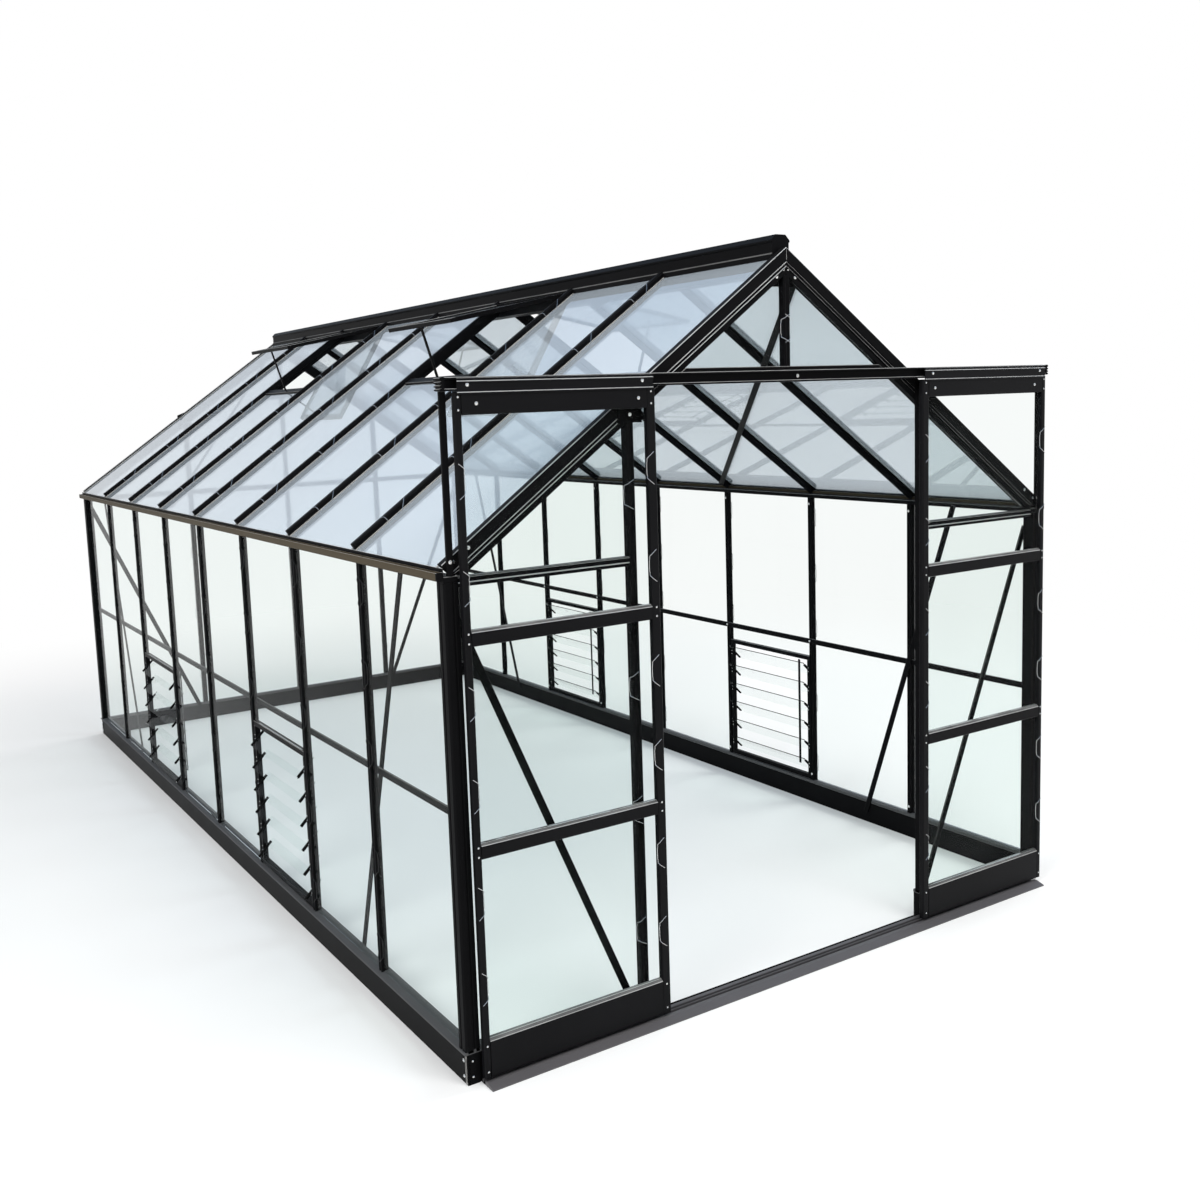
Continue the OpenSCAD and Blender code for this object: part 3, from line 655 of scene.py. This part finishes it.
# %% Corner posts and wall bars
FOOT = 9
post_section = chamfer([(-23, -23), (23, -23), (23, -9), (20, -9), (20, -3), (23, -3), (23, 18), (18, 23),
                        (-3, 23), (-3, 20), (-9, 20), (-9, 23), (-23, 23)], 1.2)
bar_section = chamfer([(1, -14), (11, -14), (14, -11), (14, -5), (12, -4), (12, 4), (14, 5), (14, 11),
                       (11, 14), (1, 14), (-1, 9), (-14, 9), (-14, 3), (-9, 3), (-9, -3), (-14, -3),
                       (-14, -9), (-1, -9)], 0.8)
posts, wall_bars = new_bars(), new_bars()
upright_z = (sill_top - FOOT, wall_top)
for corner in corners:
    sweep(posts, post_section, standing(*corner), upright_z)
for side in BOTH:
    for y in bars_y[1:-1]:
        sweep(wall_bars, bar_section, standing(side, y), upright_z)
finish_piece("corner_post_profiles", posts, stands_for=("corner_posts",))
finish_piece("wall_bar_profiles", wall_bars, stands_for=("wall_bars",))

# %% Roof bars
ridge_x = box_mm("ridge_beam")[1].x
toe = wall_out - PLAY
CAP_CUT = 6
cap_low = ROOF_TOP - CAP_CUT
roof_section = [(-14, 24), (-14, cap_low), (CAP_CUT - 14, ROOF_TOP), (14 - CAP_CUT, ROOF_TOP), (14, cap_low),
                (14, 24), (5, 22), (5, 0), (2, 0), (2, 6), (-2, 6), (-2, 0), (-5, 0), (-5, 22)]


def square_cut(x, n):
    """The place of a point of a roof bar whose lower end is cut square to the slope."""
    return x if x < toe else toe - (ROOF_D - n) * math.sin(PITCH)


def along_slope(side, y_mid, out=1, lowest=0):
    """Places a section down a slope: d is along the room, and no point lies under lowest."""
    def place(d, n, x):
        cut_x = square_cut(x, n)
        return (side * cut_x, y_mid + out * d, max(roof_z(cut_x, n), lowest))
    return place


roof_bars = new_bars()
for side in BOTH:
    for y in bars_y[1:-1]:
        sweep(roof_bars, roof_section, along_slope(side, y), (ridge_x, toe))
finish_piece("roof_bar_profiles", roof_bars, stands_for=("roof_bars",))

# %% Glazing strips beside the roof bars
ROOF_SHEET = 32
STRIP_W, STRIP_T = 6, 2.5
VENT_BAYS = (2, 5)
sill_x = box_mm("vent_sills")[1].x
strips = new_bars()
for side in BOTH:
    for i in range(BAYS):
        top = sill_x + 1 if i in VENT_BAYS else ridge_x + 1
        for bar, inward in ((i + 1, 1), (i, -1)):
            width = FRAME_T / 2 if bar in (0, BAYS) else BAR_W / 2
            near_far = sorted(bars_y[bar] + inward * (width + reach) for reach in (PLAY, STRIP_W))
            sweep(strips, chamfer(rectangle(*near_far, ROOF_SHEET, ROOF_SHEET + STRIP_T), 0.6),
                  lambda y, n, x, s=side: (s * x, y, roof_z(x, n)), (top, toe))
finish_piece("glazing_strips", strips, grey_rubber)

# %% [markdown]
# ## Gables
# The gable rafters are deep bars with two grooves and a lower band set back. Where two of them
# meet, a thin strip on the mitre carries a painted highlight as a fine light line. Jambs, king
# post and mullions have a sheet groove in front, and their heads are cut to the slope by the
# placing function alone.

# %% Rafters
rafter_section = chamfer([(-14, -30), (-14, 40), (12.5, 40), (14, 38.5), (14, 5), (12, 4), (12, 2), (14, 1),
                          (14, -6), (12, -7), (12, -9), (14, -10), (14, -13), (10, -14.5), (10, -30)], 0.5)
MITRE_HIGHLIGHT = 0.6
flat_from = half - (RAFTER - ROOF_D) / math.cos(PITCH) / math.tan(PITCH)
rafters = new_bars()
for corner in corners:
    sweep(rafters, rafter_section, along_slope(*corner, eave), (PLAY, flat_from, toe))
# A thin strip on each mitre, with a painted highlight.
for y_mid, out in gables:
    sweep(rafters, rectangle(-0.6, 0.6, 13.5, 14.3), lambda x, d, z, y=y_mid, o=out: (x, y + o * d, z),
          (roof_z(0, 6), roof_z(0, 39)), lit_edge=MITRE_HIGHLIGHT)
finish_piece("rafter_profiles", rafters, stands_for=("gable_rafters",))


# %% Jambs, king post and mullions
def upright_section(width):
    edge = width / 2
    return chamfer([(-edge, -14), (-edge, 12), (2 - edge, 14), (-6, 14), (-5, 12), (5, 12), (6, 14),
                    (edge - 2, 14), (edge, 12), (edge, -14), (4, -14), (4, -9), (-4, -9), (-4, -14)], 0.8)


def cut_upright(mesh, x_mid, width, y_mid, out, low):
    """An upright whose head follows the rafters above it."""
    def place(a, d, end):
        return (x_mid + a, y_mid + out * d, low if end == 0 else rafter_z(x_mid + a))
    sweep(mesh, upright_section(width), place, (0, 1))


tie_top = box_mm("tie_bar")[1].z
uprights = new_bars()
for side, y_mid, out in corners:
    cut_upright(uprights, side * jamb_x, JAMB_W, y_mid, out, sill_top - FOOT)
cut_upright(uprights, 0, KING_W, y_front, -1, tie_top)
cut_upright(uprights, 0, KING_W, y_back, 1, sill_top - FOOT)
finish_piece("gable_uprights", uprights, stands_for=("door_jambs", "king_post", "back_mullions"))

# %% Gable rails and the tie bar
rail_low, rail_high = box_mm("gable_eave_rails")
low, high = rail_low.z, rail_high.z
mid = (low + high) / 2
rail_section = chamfer([(-14, low), (11, low), (14, low + 3), (14, mid - 4), (11, mid - 2), (11, mid + 2),
                        (14, mid + 4), (14, high - 3), (11, high), (-14, high)], 0.6)
rails = new_bars()
for side in BOTH:
    outer = (jamb_x + JAMB_W / 2, wall_in)
    for y_mid, out, spans in ((y_front, -1, (outer,)), (y_back, 1, (outer, (KING_W / 2, doorway_x)))):
        for span in spans:
            sweep(rails, rail_section, along_gable(y_mid, out, side), span)
finish_piece("gable_rail_profiles", rails, stands_for=("gable_eave_rails",))
eased_copy("tie_bar_eased", ("tie_bar",), ease=2)

# %% Flat braces, mid rails, plates and eave beams
eased_copy("flat_braces", ("wall_mid_rails", "wall_braces", "gable_braces", "roof_braces"), ease=1.2)
eased_copy("bolted_plates", ("gusset_plates",), ease=0.8)
eased_copy("eave_beams_eased", ("eave_beams",), ease=2)
eased_copy("track_struts_eased", ("track_struts",), ease=1.5)

# %% [markdown]
# ## Ridge and gutters
# The ridge cap has a bevelled top and a lip along its lower edge. The gutters are real open
# troughs of thin brown sheet with a folded rim, closed by black end caps, under a black back wall
# that runs up to the edge of the roof sheets.

# %% Ridge
ridge_low, ridge_high = box_mm("ridge_beam")
bottom, top = ridge_low.z, ridge_high.z
lap = roof_z(ridge_x, ROOF_D)
ridge_half = [(ridge_x, bottom), (ridge_x, lap + 9), (ridge_x - 4, lap + 11), (ridge_x - 4, top - 26),
              (ridge_x, top - 24), (ridge_x, top - 18), (ridge_x - 18, top)]
ridge_section = ridge_half + [(-x, z) for x, z in reversed(ridge_half)]
ridge = new_bars()
sweep(ridge, chamfer(ridge_section, 1.5), lambda x, z, y: (x, y, z),
      (y_front + FRAME_T / 2, y_back - FRAME_T / 2))
finish_piece("ridge_cap", ridge, ridge_coat, stands_for=("ridge_beam",))

# %% Gutters
gutter_low, gutter_high = box_mm("gutters")
g_bottom, g_back, g_out = gutter_low.z, gutter_high.z, gutter_high.x - half
g_in = POST / 2
GUTTER_H, SHEET, LEAN, BACK_T, CAP_T = 25, 2.2, 4, 3, 6
g_top = g_bottom + GUTTER_H
outside = [(g_in, g_bottom), (g_out - LEAN, g_bottom), (g_out, g_bottom + LEAN), (g_out, g_top)]
trough = outside + [(g_out - 5, g_top), (g_out - 5, g_top - SHEET), (g_out - SHEET, g_top - SHEET),
                    (g_out - SHEET, g_bottom + LEAN), (g_out - LEAN - 1, g_bottom + SHEET),
                    (g_in + SHEET, g_bottom + SHEET), (g_in + SHEET, g_top), (g_in, g_top)]
cap_outline = outside + [(g_in + BACK_T, g_top), (g_in + BACK_T, g_back), (g_in, g_back)]
back_wall = rectangle(g_in, g_in + BACK_T, g_top, g_back)
gutters, gutter_backs = new_bars(), new_bars()
trough_ends = (ends_y[0] + CAP_T, ends_y[1] - CAP_T)
for side in BOTH:
    sweep(gutters, chamfer(trough, 0.7), along_wall(side), trough_ends)
    sweep(gutter_backs, chamfer(back_wall, 0.6), along_wall(side), trough_ends)
    for span in ((ends_y[0], trough_ends[0]), (trough_ends[1], ends_y[1])):
        sweep(gutter_backs, chamfer(cap_outline, 0.8), along_wall(side), span)
finish_piece("gutter_troughs", gutters, gutter_coat, stands_for=("gutters",))
finish_piece("gutter_backs", gutter_backs)

# %% [markdown]
# ## Door track and doors
# The track is an open channel with grooves in its roof and ribbed stop blocks at its ends. Each
# door hangs from a strip with a bead along both edges. Its rails have a sloped shoulder on
# top, which shows as a bright line in daylight.

# %% Door track
track_low, track_high = box_mm("door_track")
track_z, track_end = track_low.z, track_high.x
lip_d = y_front - box_mm("track_lips")[0].y
web_d = y_front - track_low.y
track_h = track_high.z - track_z
LIP_T = 6
channel = [(FRAME_T / 2, 0), (lip_d, 0), (lip_d, LIP_T), (web_d, LIP_T), (web_d, track_h - LIP_T),
           (lip_d, track_h - LIP_T), (lip_d, track_h - 0.8), (lip_d - 0.8, track_h)]
for at in (42, 32, 22):
    channel += [(at, track_h), (at - 1, track_h - 2), (at - 3, track_h - 2), (at - 4, track_h)]
channel += [(FRAME_T / 2, track_h)]
STOP = 14
track = new_bars()
sweep(track, chamfer(channel, 0.8), lambda d, z, x: (x, y_front - d, track_z + z),
      (STOP - track_end, track_end - STOP))
stop_section = [(0, 0), (9, 0), (STOP, 2)]
for at in (6, 15.5, 25):
    stop_section += [(STOP, at), (9, at + 1), (9, at + 4), (STOP, at + 5)]
stop_section += [(STOP, track_h - 2), (9, track_h), (0, track_h)]
for side in BOTH:
    sweep(track, chamfer(stop_section, 0.6),
          lambda a, z, d, s=side: (s * (track_end - STOP + a), y_front - d, track_z + z),
          (FRAME_T / 2, lip_d))
finish_piece("door_track_profile", track, stands_for=("door_track", "track_lips"))

# %% Door rails and stiles
LEAF_T, STILE_W, MEET_W = 20, 21, 31
stile_low, stile_high = box_mm("right_door_stiles")
door_z0, door_z1 = stile_low.z, stile_high.z
leaf_front = y_front - stile_low.y
leaf_mid = leaf_front - LEAF_T / 2
LOW_RAIL, HIGH_RAIL, MID_H, TOP_H, KICK_H = 712, 1336, 48, 62, 120
hanger_z = [corner.z for corner in box_mm("right_door_hanger")]


def span_x(node):
    """How far the two ends of a door's node are from the middle of the room, the nearer first."""
    return sorted(abs(corner.x) for corner in box_mm(node))


doors = [(door, side, *span_x(f"{door}_stiles")) for door, side in (("right_door", 1), ("left_door", -1))]


def stile_section(width):
    return chamfer([(0, -10), (0, 7), (3, 10), (width - 3, 10), (width, 7), (width, -10)], 1.2)


def shouldered(low, high):
    """A door rail whose top slopes to the front."""
    return chamfer([(-10, low), (-10, high), (1, high), (10, high - 7), (10, low + 3), (7, low)], 1.2)


def plain_rail(low, high):
    return chamfer([(-10, low), (-10, high), (7, high), (10, high - 3), (10, low + 4), (6, low)], 1.2)


def hanger_section():
    low, high = hanger_z
    thick, bead = 4, high - 8
    return chamfer([(0, low), (0, high), (1.2, high), (1.2, bead), (2.6, bead), (thick, bead - 1.4),
                    (thick, bead - 6), (2.2, bead - 7.5), (2.2, low + 7.5), (thick, low + 6),
                    (thick, low + 1.6), (2.4, low)], 0.4)


rail_sections = [shouldered(door_z0, door_z0 + KICK_H),
                 shouldered(LOW_RAIL - MID_H / 2, LOW_RAIL + MID_H / 2),
                 shouldered(HIGH_RAIL - MID_H / 2, HIGH_RAIL + MID_H / 2),
                 plain_rail(door_z1 - TOP_H, door_z1)]

# %% Door leaves
for door, side, door_in, door_out in doors:
    leaf, hanger = new_bars(), new_bars()
    for at, width in ((door_in, MEET_W), (door_out - STILE_W, STILE_W)):
        sweep(leaf, stile_section(width),
              lambda a, d, z, s=side, x=at: (s * (x + a), y_front - leaf_mid - d, z), (door_z0, door_z1))
    for section in rail_sections:
        sweep(leaf, section, along_gable(y_front - leaf_mid, -1, side),
              (door_in + MEET_W, door_out - STILE_W))
    sweep(hanger, hanger_section(), along_gable(y_front - leaf_front, -1, side), span_x(f"{door}_hanger"))
    finish_piece(f"{door}_frame", leaf, door_coat, door,
                 stands_for=(f"{door}_stiles", f"{door}_rails"))
    finish_piece(f"{door}_hanger_strip", hanger, door_coat, door, stands_for=(f"{door}_hanger",))
    paint(f"{door}_wheels", nylon)

# %% [markdown]
# ## Roof vents and louvre windows
# The vents are small framed sheets hinged under the ridge. Each louvre blade sits in a black
# clip at both ends, and the clips reach out of the wall on their lower side. A bar
# inside links the blades.

# %% Vents
eased_copy("vent_frames", ("vent_side_rails", "vent_cross_rails"), ease=2)
eased_copy("vent_sill_bars", ("vent_sills",), ease=1.5)
eased_copy("vent_stay_bars", ("vent_stays",), ease=1)

# %% Louvre frames and blade clips
BLADES, TILT = 6, math.radians(45)
CLIP_IN, CLIP_OUT, CLIP_T, CLIP_W = -34, 46, 9, 12
HOLDER_D, HOLDER_W, CLIP_LAP = 22, 16, 2
eased_copy("louvre_frames", ("louvre_rails", "louvre_holders"), ease=1.5)
holder_low, holder_high = box_mm("louvre_holders")
blade_x = holder_high.x - HOLDER_D / 2
blade_pitch = (holder_high.z - holder_low.z) / BLADES
louvre_half = (bay - BAR_W) / 2 - PLAY
window_mids = [(bars_y[i] + bars_y[i + 1]) / 2 for i in VENT_BAYS]
windows = [(side, y_mid) for side in BOTH for y_mid in window_mids]
holders = [(*window, end) for window in windows for end in BOTH]
blade_mids = [holder_low.z + (k + 0.5) * blade_pitch for k in range(BLADES)]
clip_section = chamfer(rectangle(-CLIP_W / 2, CLIP_W / 2, -CLIP_T / 2, CLIP_T / 2), 1.5)
clips = new_bars()
for side, y_mid, end in holders:
    y = y_mid + end * (louvre_half - HOLDER_W - CLIP_W / 2 + CLIP_LAP)
    for z in blade_mids:
        def clip_point(a, b, t, s=side, y=y, z=z):
            return (s * (blade_x + t * math.cos(TILT) + b * math.sin(TILT)), y + a,
                    z - t * math.sin(TILT) + b * math.cos(TILT))
        sweep(clips, clip_section, clip_point, (CLIP_IN, CLIP_OUT))
finish_piece("blade_clips", clips, black_rubber)

# %% Louvre operating bars
LINK_IN, LINK_SIDE, LINK_FOOT, LINK_HEAD = 36, 44, 10, 50
operating_bars = new_bars()
link_section = chamfer(rectangle(-7, 7, -1.5, 1.5), 0.8)
link_x = blade_x - LINK_IN
for side, y_mid in windows:
    y = y_mid - (louvre_half - LINK_SIDE)
    sweep(operating_bars, link_section, lambda a, b, z, s=side, y=y: (s * (link_x + b), y + a, z),
          (blade_mids[0] + LINK_FOOT, blade_mids[-1] + LINK_HEAD))
finish_piece("louvre_links", operating_bars)

# %% [markdown]
# ## Bolts, screws and rivets
# Every joint is held by a plated bolt. One Geometry Nodes tree turns points into bolts: it puts a
# washer and a cut cone on each point, turned by a stored rotation. The sizes are inputs, so the
# same tree makes bolts, small screws and rivets.


# %% Stud tree
WASHER_SIDES, SHOULDER, CROWN, BODY_SHARE = 14, 0.86, 0.45, 0.6


def new_tree(name, taken, amounts, made):
    """A Geometry Nodes tree that takes a geometry and some amounts and makes a geometry."""
    tree = bpy.data.node_groups.new(name, "GeometryNodeTree")
    tree.interface.new_socket(taken, in_out="INPUT", socket_type="NodeSocketGeometry")
    for label, kind in amounts.items():
        tree.interface.new_socket(label, in_out="INPUT", socket_type=f"NodeSocket{kind}")
    tree.interface.new_socket(made, in_out="OUTPUT", socket_type="NodeSocketGeometry")
    return tree, tree.nodes.new("NodeGroupInput").outputs, tree.nodes.new("NodeGroupOutput").inputs


def stud_tree():
    sizes = dict.fromkeys(("Washer Radius", "Washer Height", "Head Radius", "Head Height"), "Float")
    tree, given, made = new_tree("studs_on_points", "Points", {**sizes, "Sides": "Int", "Finish": "Material"},
                                 "Studs")
    new = tree.nodes.new
    washer, head, dome = (new("GeometryNodeMeshCylinder"), new("GeometryNodeMeshCone"),
                          new("GeometryNodeMeshCone"))
    give(washer, Vertices=WASHER_SIDES)
    lift, rise = new("GeometryNodeTransform"), new("ShaderNodeCombineXYZ")

    def share(label, part):
        return math_node(tree, "MULTIPLY", given[label], part)

    for part in (head, dome):
        link(tree, (given["Sides"], part.inputs["Vertices"]))
    link(tree, (given["Washer Radius"], washer.inputs["Radius"]),
         (given["Washer Height"], washer.inputs["Depth"]),
         (given["Head Radius"], head.inputs["Radius Bottom"]),
         (share("Head Radius", SHOULDER), head.inputs["Radius Top"]),
         (share("Head Height", BODY_SHARE), head.inputs["Depth"]),
         (share("Head Radius", SHOULDER), dome.inputs["Radius Bottom"]),
         (share("Head Radius", CROWN), dome.inputs["Radius Top"]),
         (share("Head Height", 1 - BODY_SHARE), dome.inputs["Depth"]),
         (share("Head Height", BODY_SHARE), rise.inputs["Z"]),
         (rise.outputs[0], lift.inputs["Translation"]), (dome.outputs["Mesh"], lift.inputs["Geometry"]))
    joined, turn, euler, spread, real, painted = (
        new("GeometryNodeJoinGeometry"), new("GeometryNodeInputNamedAttribute"),
        new("FunctionNodeEulerToRotation"), new("GeometryNodeInstanceOnPoints"),
        new("GeometryNodeRealizeInstances"), new("GeometryNodeSetMaterial"))
    turn.data_type = "FLOAT_VECTOR"
    give(turn, Name="turn")
    link(tree, (washer.outputs["Mesh"], joined.inputs[0]), (head.outputs["Mesh"], joined.inputs[0]),
         (lift.outputs[0], joined.inputs[0]), (turn.outputs["Attribute"], euler.inputs[0]),
         (given["Points"], spread.inputs["Points"]), (joined.outputs[0], spread.inputs["Instance"]),
         (euler.outputs[0], spread.inputs["Rotation"]), (spread.outputs[0], real.inputs[0]),
         (real.outputs[0], painted.inputs["Geometry"]), (given["Finish"], painted.inputs["Material"]),
         (painted.outputs[0], made["Studs"]))
    return tree


# %% Placing studs
def grown_mesh(name, data, tree, **amounts):
    """The plain mesh that a tree grows on data, with the tree's inputs set by their identifiers."""
    seed = bpy.data.objects.new(name, data)
    show(seed)
    modifier = seed.modifiers.new("grow", "NODES")
    modifier.node_group = tree
    for socket in tree.interface.items_tree:
        label = socket.name.replace(" ", "_")
        if socket.in_out == "INPUT" and label in amounts:
            modifier[socket.identifier] = amounts[label]
    graph = bpy.context.evaluated_depsgraph_get()
    grown = bpy.data.meshes.new_from_object(seed.evaluated_get(graph))
    bpy.data.objects.remove(seed)
    return grown


studs_on_points = stud_tree()


def studs(name, places, finish, body="room", washer=(5.5, 1.2), head=(4.2, 3.2), sides=6):
    """Bolts at places, each a point in millimetres and the direction that its head looks in."""
    data = bpy.data.meshes.new(name + "_points")
    data.from_pydata([Vector(p) * MM for p, _ in places], [], [])
    turn = data.attributes.new("turn", "FLOAT_VECTOR", "POINT")
    for item, (_, out) in zip(turn.data, places):
        item.vector = Vector(out).to_track_quat("Z", "Y").to_euler()
    grown = grown_mesh(name, data, studs_on_points, Washer_Radius=washer[0] * MM,
                       Washer_Height=washer[1] * MM, Head_Radius=head[0] * MM,
                       Head_Height=head[1] * MM, Sides=sides, Finish=finish)
    grown.name = name
    return add_piece(name, grown, finish, body)


# %% Bolts of the room
BAR_END, RAIL_T, PLINTH_IN, PLATE_T, VENT_BOLT = 30, 6, 20, 3, 13
bolts = []
mid_rail_low, mid_rail_high = box_mm("wall_mid_rails")
mid_rail_z = (mid_rail_low.z + mid_rail_high.z) / 2
bar_in = half - BAR_D / 2
bar_bolts = ((bar_in - RAIL_T, mid_rail_z), (bar_in, wall_top - BAR_END), (bar_in, sill_top + BAR_END))
apex = rafter_z(0)
plate_d = FRAME_T / 2 + PLATE_T
gable_bolts = [(40, 10, apex - 11), (11, 10, apex + 15), (jamb_x, plate_d, track_z - 85),
               (jamb_x, plate_d, track_z - 45)]
gable_bolts += [(x, FRAME_T / 2, roof_z(x, 24)) for x in (half - 64, half - 14)]
for side in BOTH:
    for y in bars_y[1:-1]:
        bolts += [((side * x, y, z), (-side, 0, 0)) for x, z in bar_bolts]
    for y_mid, out in gables:
        for z in (24, base_high - 22):
            bolts.append(((side * (half + bracket_face + BRACKET_T), y_mid + out * (POST / 2 - PLINTH_IN), z),
                          (side, 0, 0)))
            if out < 0:
                bolts.append(((side * (half + POST / 2 - PLINTH_IN), y_mid - POST / 2 + 1, z), (0, -1, 0)))
        bolts += [((side * x, y_mid + out * d, z), (0, out, 0)) for x, d, z in gable_bolts]
    bolts.append(((side * half, y_front - FRAME_T / 2 - 10, eave + 40), (0, -1, 0)))
    for y_mid in window_mids:
        x = sill_x - VENT_BOLT
        bolts.append(((side * x, y_mid, roof_z(x, ROOF_D)), (side * math.sin(PITCH), 0, math.cos(PITCH))))
bolts.append(((20, y_front - web_d, track_z + track_h / 2), (0, -1, 0)))
studs("frame_bolts", bolts, zinc)

# %% Bolts and screws of the doors
HANGER_BOLTS, RAIL_BOLTS = (48, 40), (62, 67)
leaf_face = y_front - leaf_front
hanger_mid = sum(hanger_z) / 2 + 4
screws_z = (door_z1 - 12, door_z1 - 48, HIGH_RAIL + 14, HIGH_RAIL - 14, LOW_RAIL + 14, LOW_RAIL - 14,
            door_z0 + 100, door_z0 + 20)
for door, side, door_in, door_out in doors:
    big = []
    for (near, far), y, z in ((HANGER_BOLTS, leaf_face - 2.4, hanger_mid),
                              (RAIL_BOLTS, leaf_face, door_z1 - TOP_H / 2)):
        big += [((side * x, y, z), (0, -1, 0)) for x in (door_in + near, door_out - far)]
    studs(f"{door}_bolts", big, zinc, door, washer=(5.2, 1.2), head=(4.4, 3.4))
    stile_mids = (door_in + MEET_W / 2, door_out - STILE_W / 2)
    small = [((side * x, leaf_face, z), (0, -1, 0)) for x in stile_mids for z in screws_z]
    studs(f"{door}_screws", small, zinc, door, washer=(3.0, 0.8), head=(2.6, 1.8), sides=10)

# %% Rivets of the louvre holders
rivets = []
for side, y_mid, end in holders:
    y = y_mid + end * (louvre_half - HOLDER_W / 2)
    for z in [mid + dz for mid in blade_mids for dz in (-9, 9)]:
        rivets.append(((side * holder_high.x, y, z), (side, 0, 0)))
        rivets.append(((side * (holder_high.x - HOLDER_D), y, z), (-side, 0, 0)))
studs("louvre_rivets", rivets, zinc, washer=(2.6, 0.6), head=(2.2, 1.5), sides=8)

# %% [markdown]
# ## Wire clips
# Spring wire clips press each sheet against its bar. Their path is a few straight runs, so it is
# drawn as edges. A second Geometry Nodes tree rounds the bends and sweeps a circle along
# them, which makes all clips of a body at once.


# %% Wire tree
def wire_tree():
    amounts = {"Wire Radius": "Float", "Bend Radius": "Float", "Finish": "Material"}
    tree, given, made = new_tree("wire_along_edges", "Path", amounts, "Wire")
    new = tree.nodes.new
    curve, bend, circle = (new("GeometryNodeMeshToCurve"), new("GeometryNodeFilletCurve"),
                           new("GeometryNodeCurvePrimitiveCircle"))
    tube, real, painted = (new("GeometryNodeCurveToMesh"), new("GeometryNodeRealizeInstances"),
                           new("GeometryNodeSetMaterial"))
    bend.mode = "POLY"
    give(bend, Count=2, Limit_Radius=True)
    give(circle, Resolution=5)
    give(tube, Fill_Caps=True)
    link(tree, (given["Path"], curve.inputs[0]), (curve.outputs[0], bend.inputs["Curve"]),
         (given["Bend Radius"], bend.inputs["Radius"]), (given["Wire Radius"], circle.inputs["Radius"]),
         (bend.outputs[0], tube.inputs["Curve"]), (circle.outputs[0], tube.inputs["Profile Curve"]),
         (tube.outputs[0], real.inputs[0]), (real.outputs[0], painted.inputs["Geometry"]),
         (given["Finish"], painted.inputs["Material"]), (painted.outputs[0], made["Wire"]))
    return tree


wire_along_edges = wire_tree()
WIRE_R, BEND_R = 1.0, 4


def wires(name, runs, body="room", finish=spring_wire):
    """Wire clips, each a list of points in millimetres."""
    points = [Vector(p) * MM for run in runs for p in run]
    edges, start = [], 0
    for run in runs:
        edges += [(start + i, start + i + 1) for i in range(len(run) - 1)]
        start += len(run)
    data = bpy.data.meshes.new(name + "_paths")
    data.from_pydata(points, edges, [])
    grown = grown_mesh(name, data, wire_along_edges, Wire_Radius=WIRE_R * MM, Bend_Radius=BEND_R * MM,
                       Finish=finish)
    grown.name = name
    return add_piece(name, grown, finish, body)


# %% Shapes of the clips
def both_ways(head):
    """A clip's path: across, above the sheet and along the bar, for one half and its mirror image."""
    return head + [(a, up, -v) for a, up, v in reversed(head)]


def over_bar_clip(over_bar):
    return both_ways(over_bar + [(21, 1.3, 31), (17, 1.3, 25), (21, 1.3, 19)])


wall_sheet = box_mm("wall_panes")[1].x - half
wall_rise, roof_rise = BAR_D / 2 - wall_sheet, ROOF_TOP - ROOF_SHEET
wall_clip = over_bar_clip([(2, wall_rise + 1, 52), (13, wall_rise, 40)])
roof_clip = over_bar_clip([(2, roof_rise + 1, 52), (8.5, roof_rise + 0.6, 46),
                           (15.2, roof_rise - CAP_CUT, 40)])
gable_clip = both_ways([(-12, 15.0, 46), (10, 14.4, 34), (18, 3.5, 28), (15, 3.3, 22), (18, 3.3, 16)])
door_clip = both_ways([(-13, 11, 50), (5, 10.6, 36), (9, 5, 29), (7, 4, 23), (9, 4, 17)])
print("points of a wall clip:", len(wall_clip))

# %% Clips of the walls and the roof
WALL_CLIPS, ROOF_CLIPS = (190, 490, 860, 1130, 1400), (150, 400, 650, 900, 1160)
WINDOW_CLIPS, VENT_CLIPS = (860, 1130, 1400), (640, 900, 1160)
wall_runs, roof_runs = [], []
for side in BOTH:
    for i, y in enumerate(bars_y[1:-1], 1):
        for across in BOTH:
            window = (i if across < 0 else i - 1) in VENT_BAYS
            for z in WINDOW_CLIPS if window else WALL_CLIPS:
                wall_runs.append([(side * (half + wall_sheet + up), y + across * a, z + v)
                                  for a, up, v in wall_clip])
            for x in VENT_CLIPS if window else ROOF_CLIPS:
                run = [(x + v * math.cos(PITCH), a, up) for a, up, v in roof_clip]
                roof_runs.append([(side * x_at, y + across * a, roof_z(x_at, ROOF_SHEET + up))
                                  for x_at, a, up in run])
wires("wall_clips", wall_runs, finish=dark_wire)
wires("roof_clips", roof_runs)

# %% Clips of the gables and the doors
CLIP_BACK, KING_CLIP_Z = 10, 2205
GABLE_CLIPS, DOOR_CLIPS = (300, 700, 1100, 1700), (300, 560, 880, 1150, 1480, 1780)
runs = []
for side in BOTH:
    for z in GABLE_CLIPS:
        for y_mid, out in gables:
            runs.append([(side * (jamb_x + JAMB_W / 2 - CLIP_BACK + a), y_mid + out * up, z + v)
                         for a, up, v in gable_clip])
    runs.append([(side * (KING_W / 2 - CLIP_BACK + a), y_front - up, KING_CLIP_Z + v)
                 for a, up, v in gable_clip])
wires("gable_clips", runs)
for door, side, door_in, door_out in doors:
    runs = []
    for edge, across in ((door_in + MEET_W - 6, 1), (door_out - STILE_W + 6, -1)):
        for z in DOOR_CLIPS:
            runs.append([(side * (edge + across * a), y_front - leaf_mid - up, z + v)
                         for a, up, v in door_clip])
    wires(f"{door}_clips", runs, door)
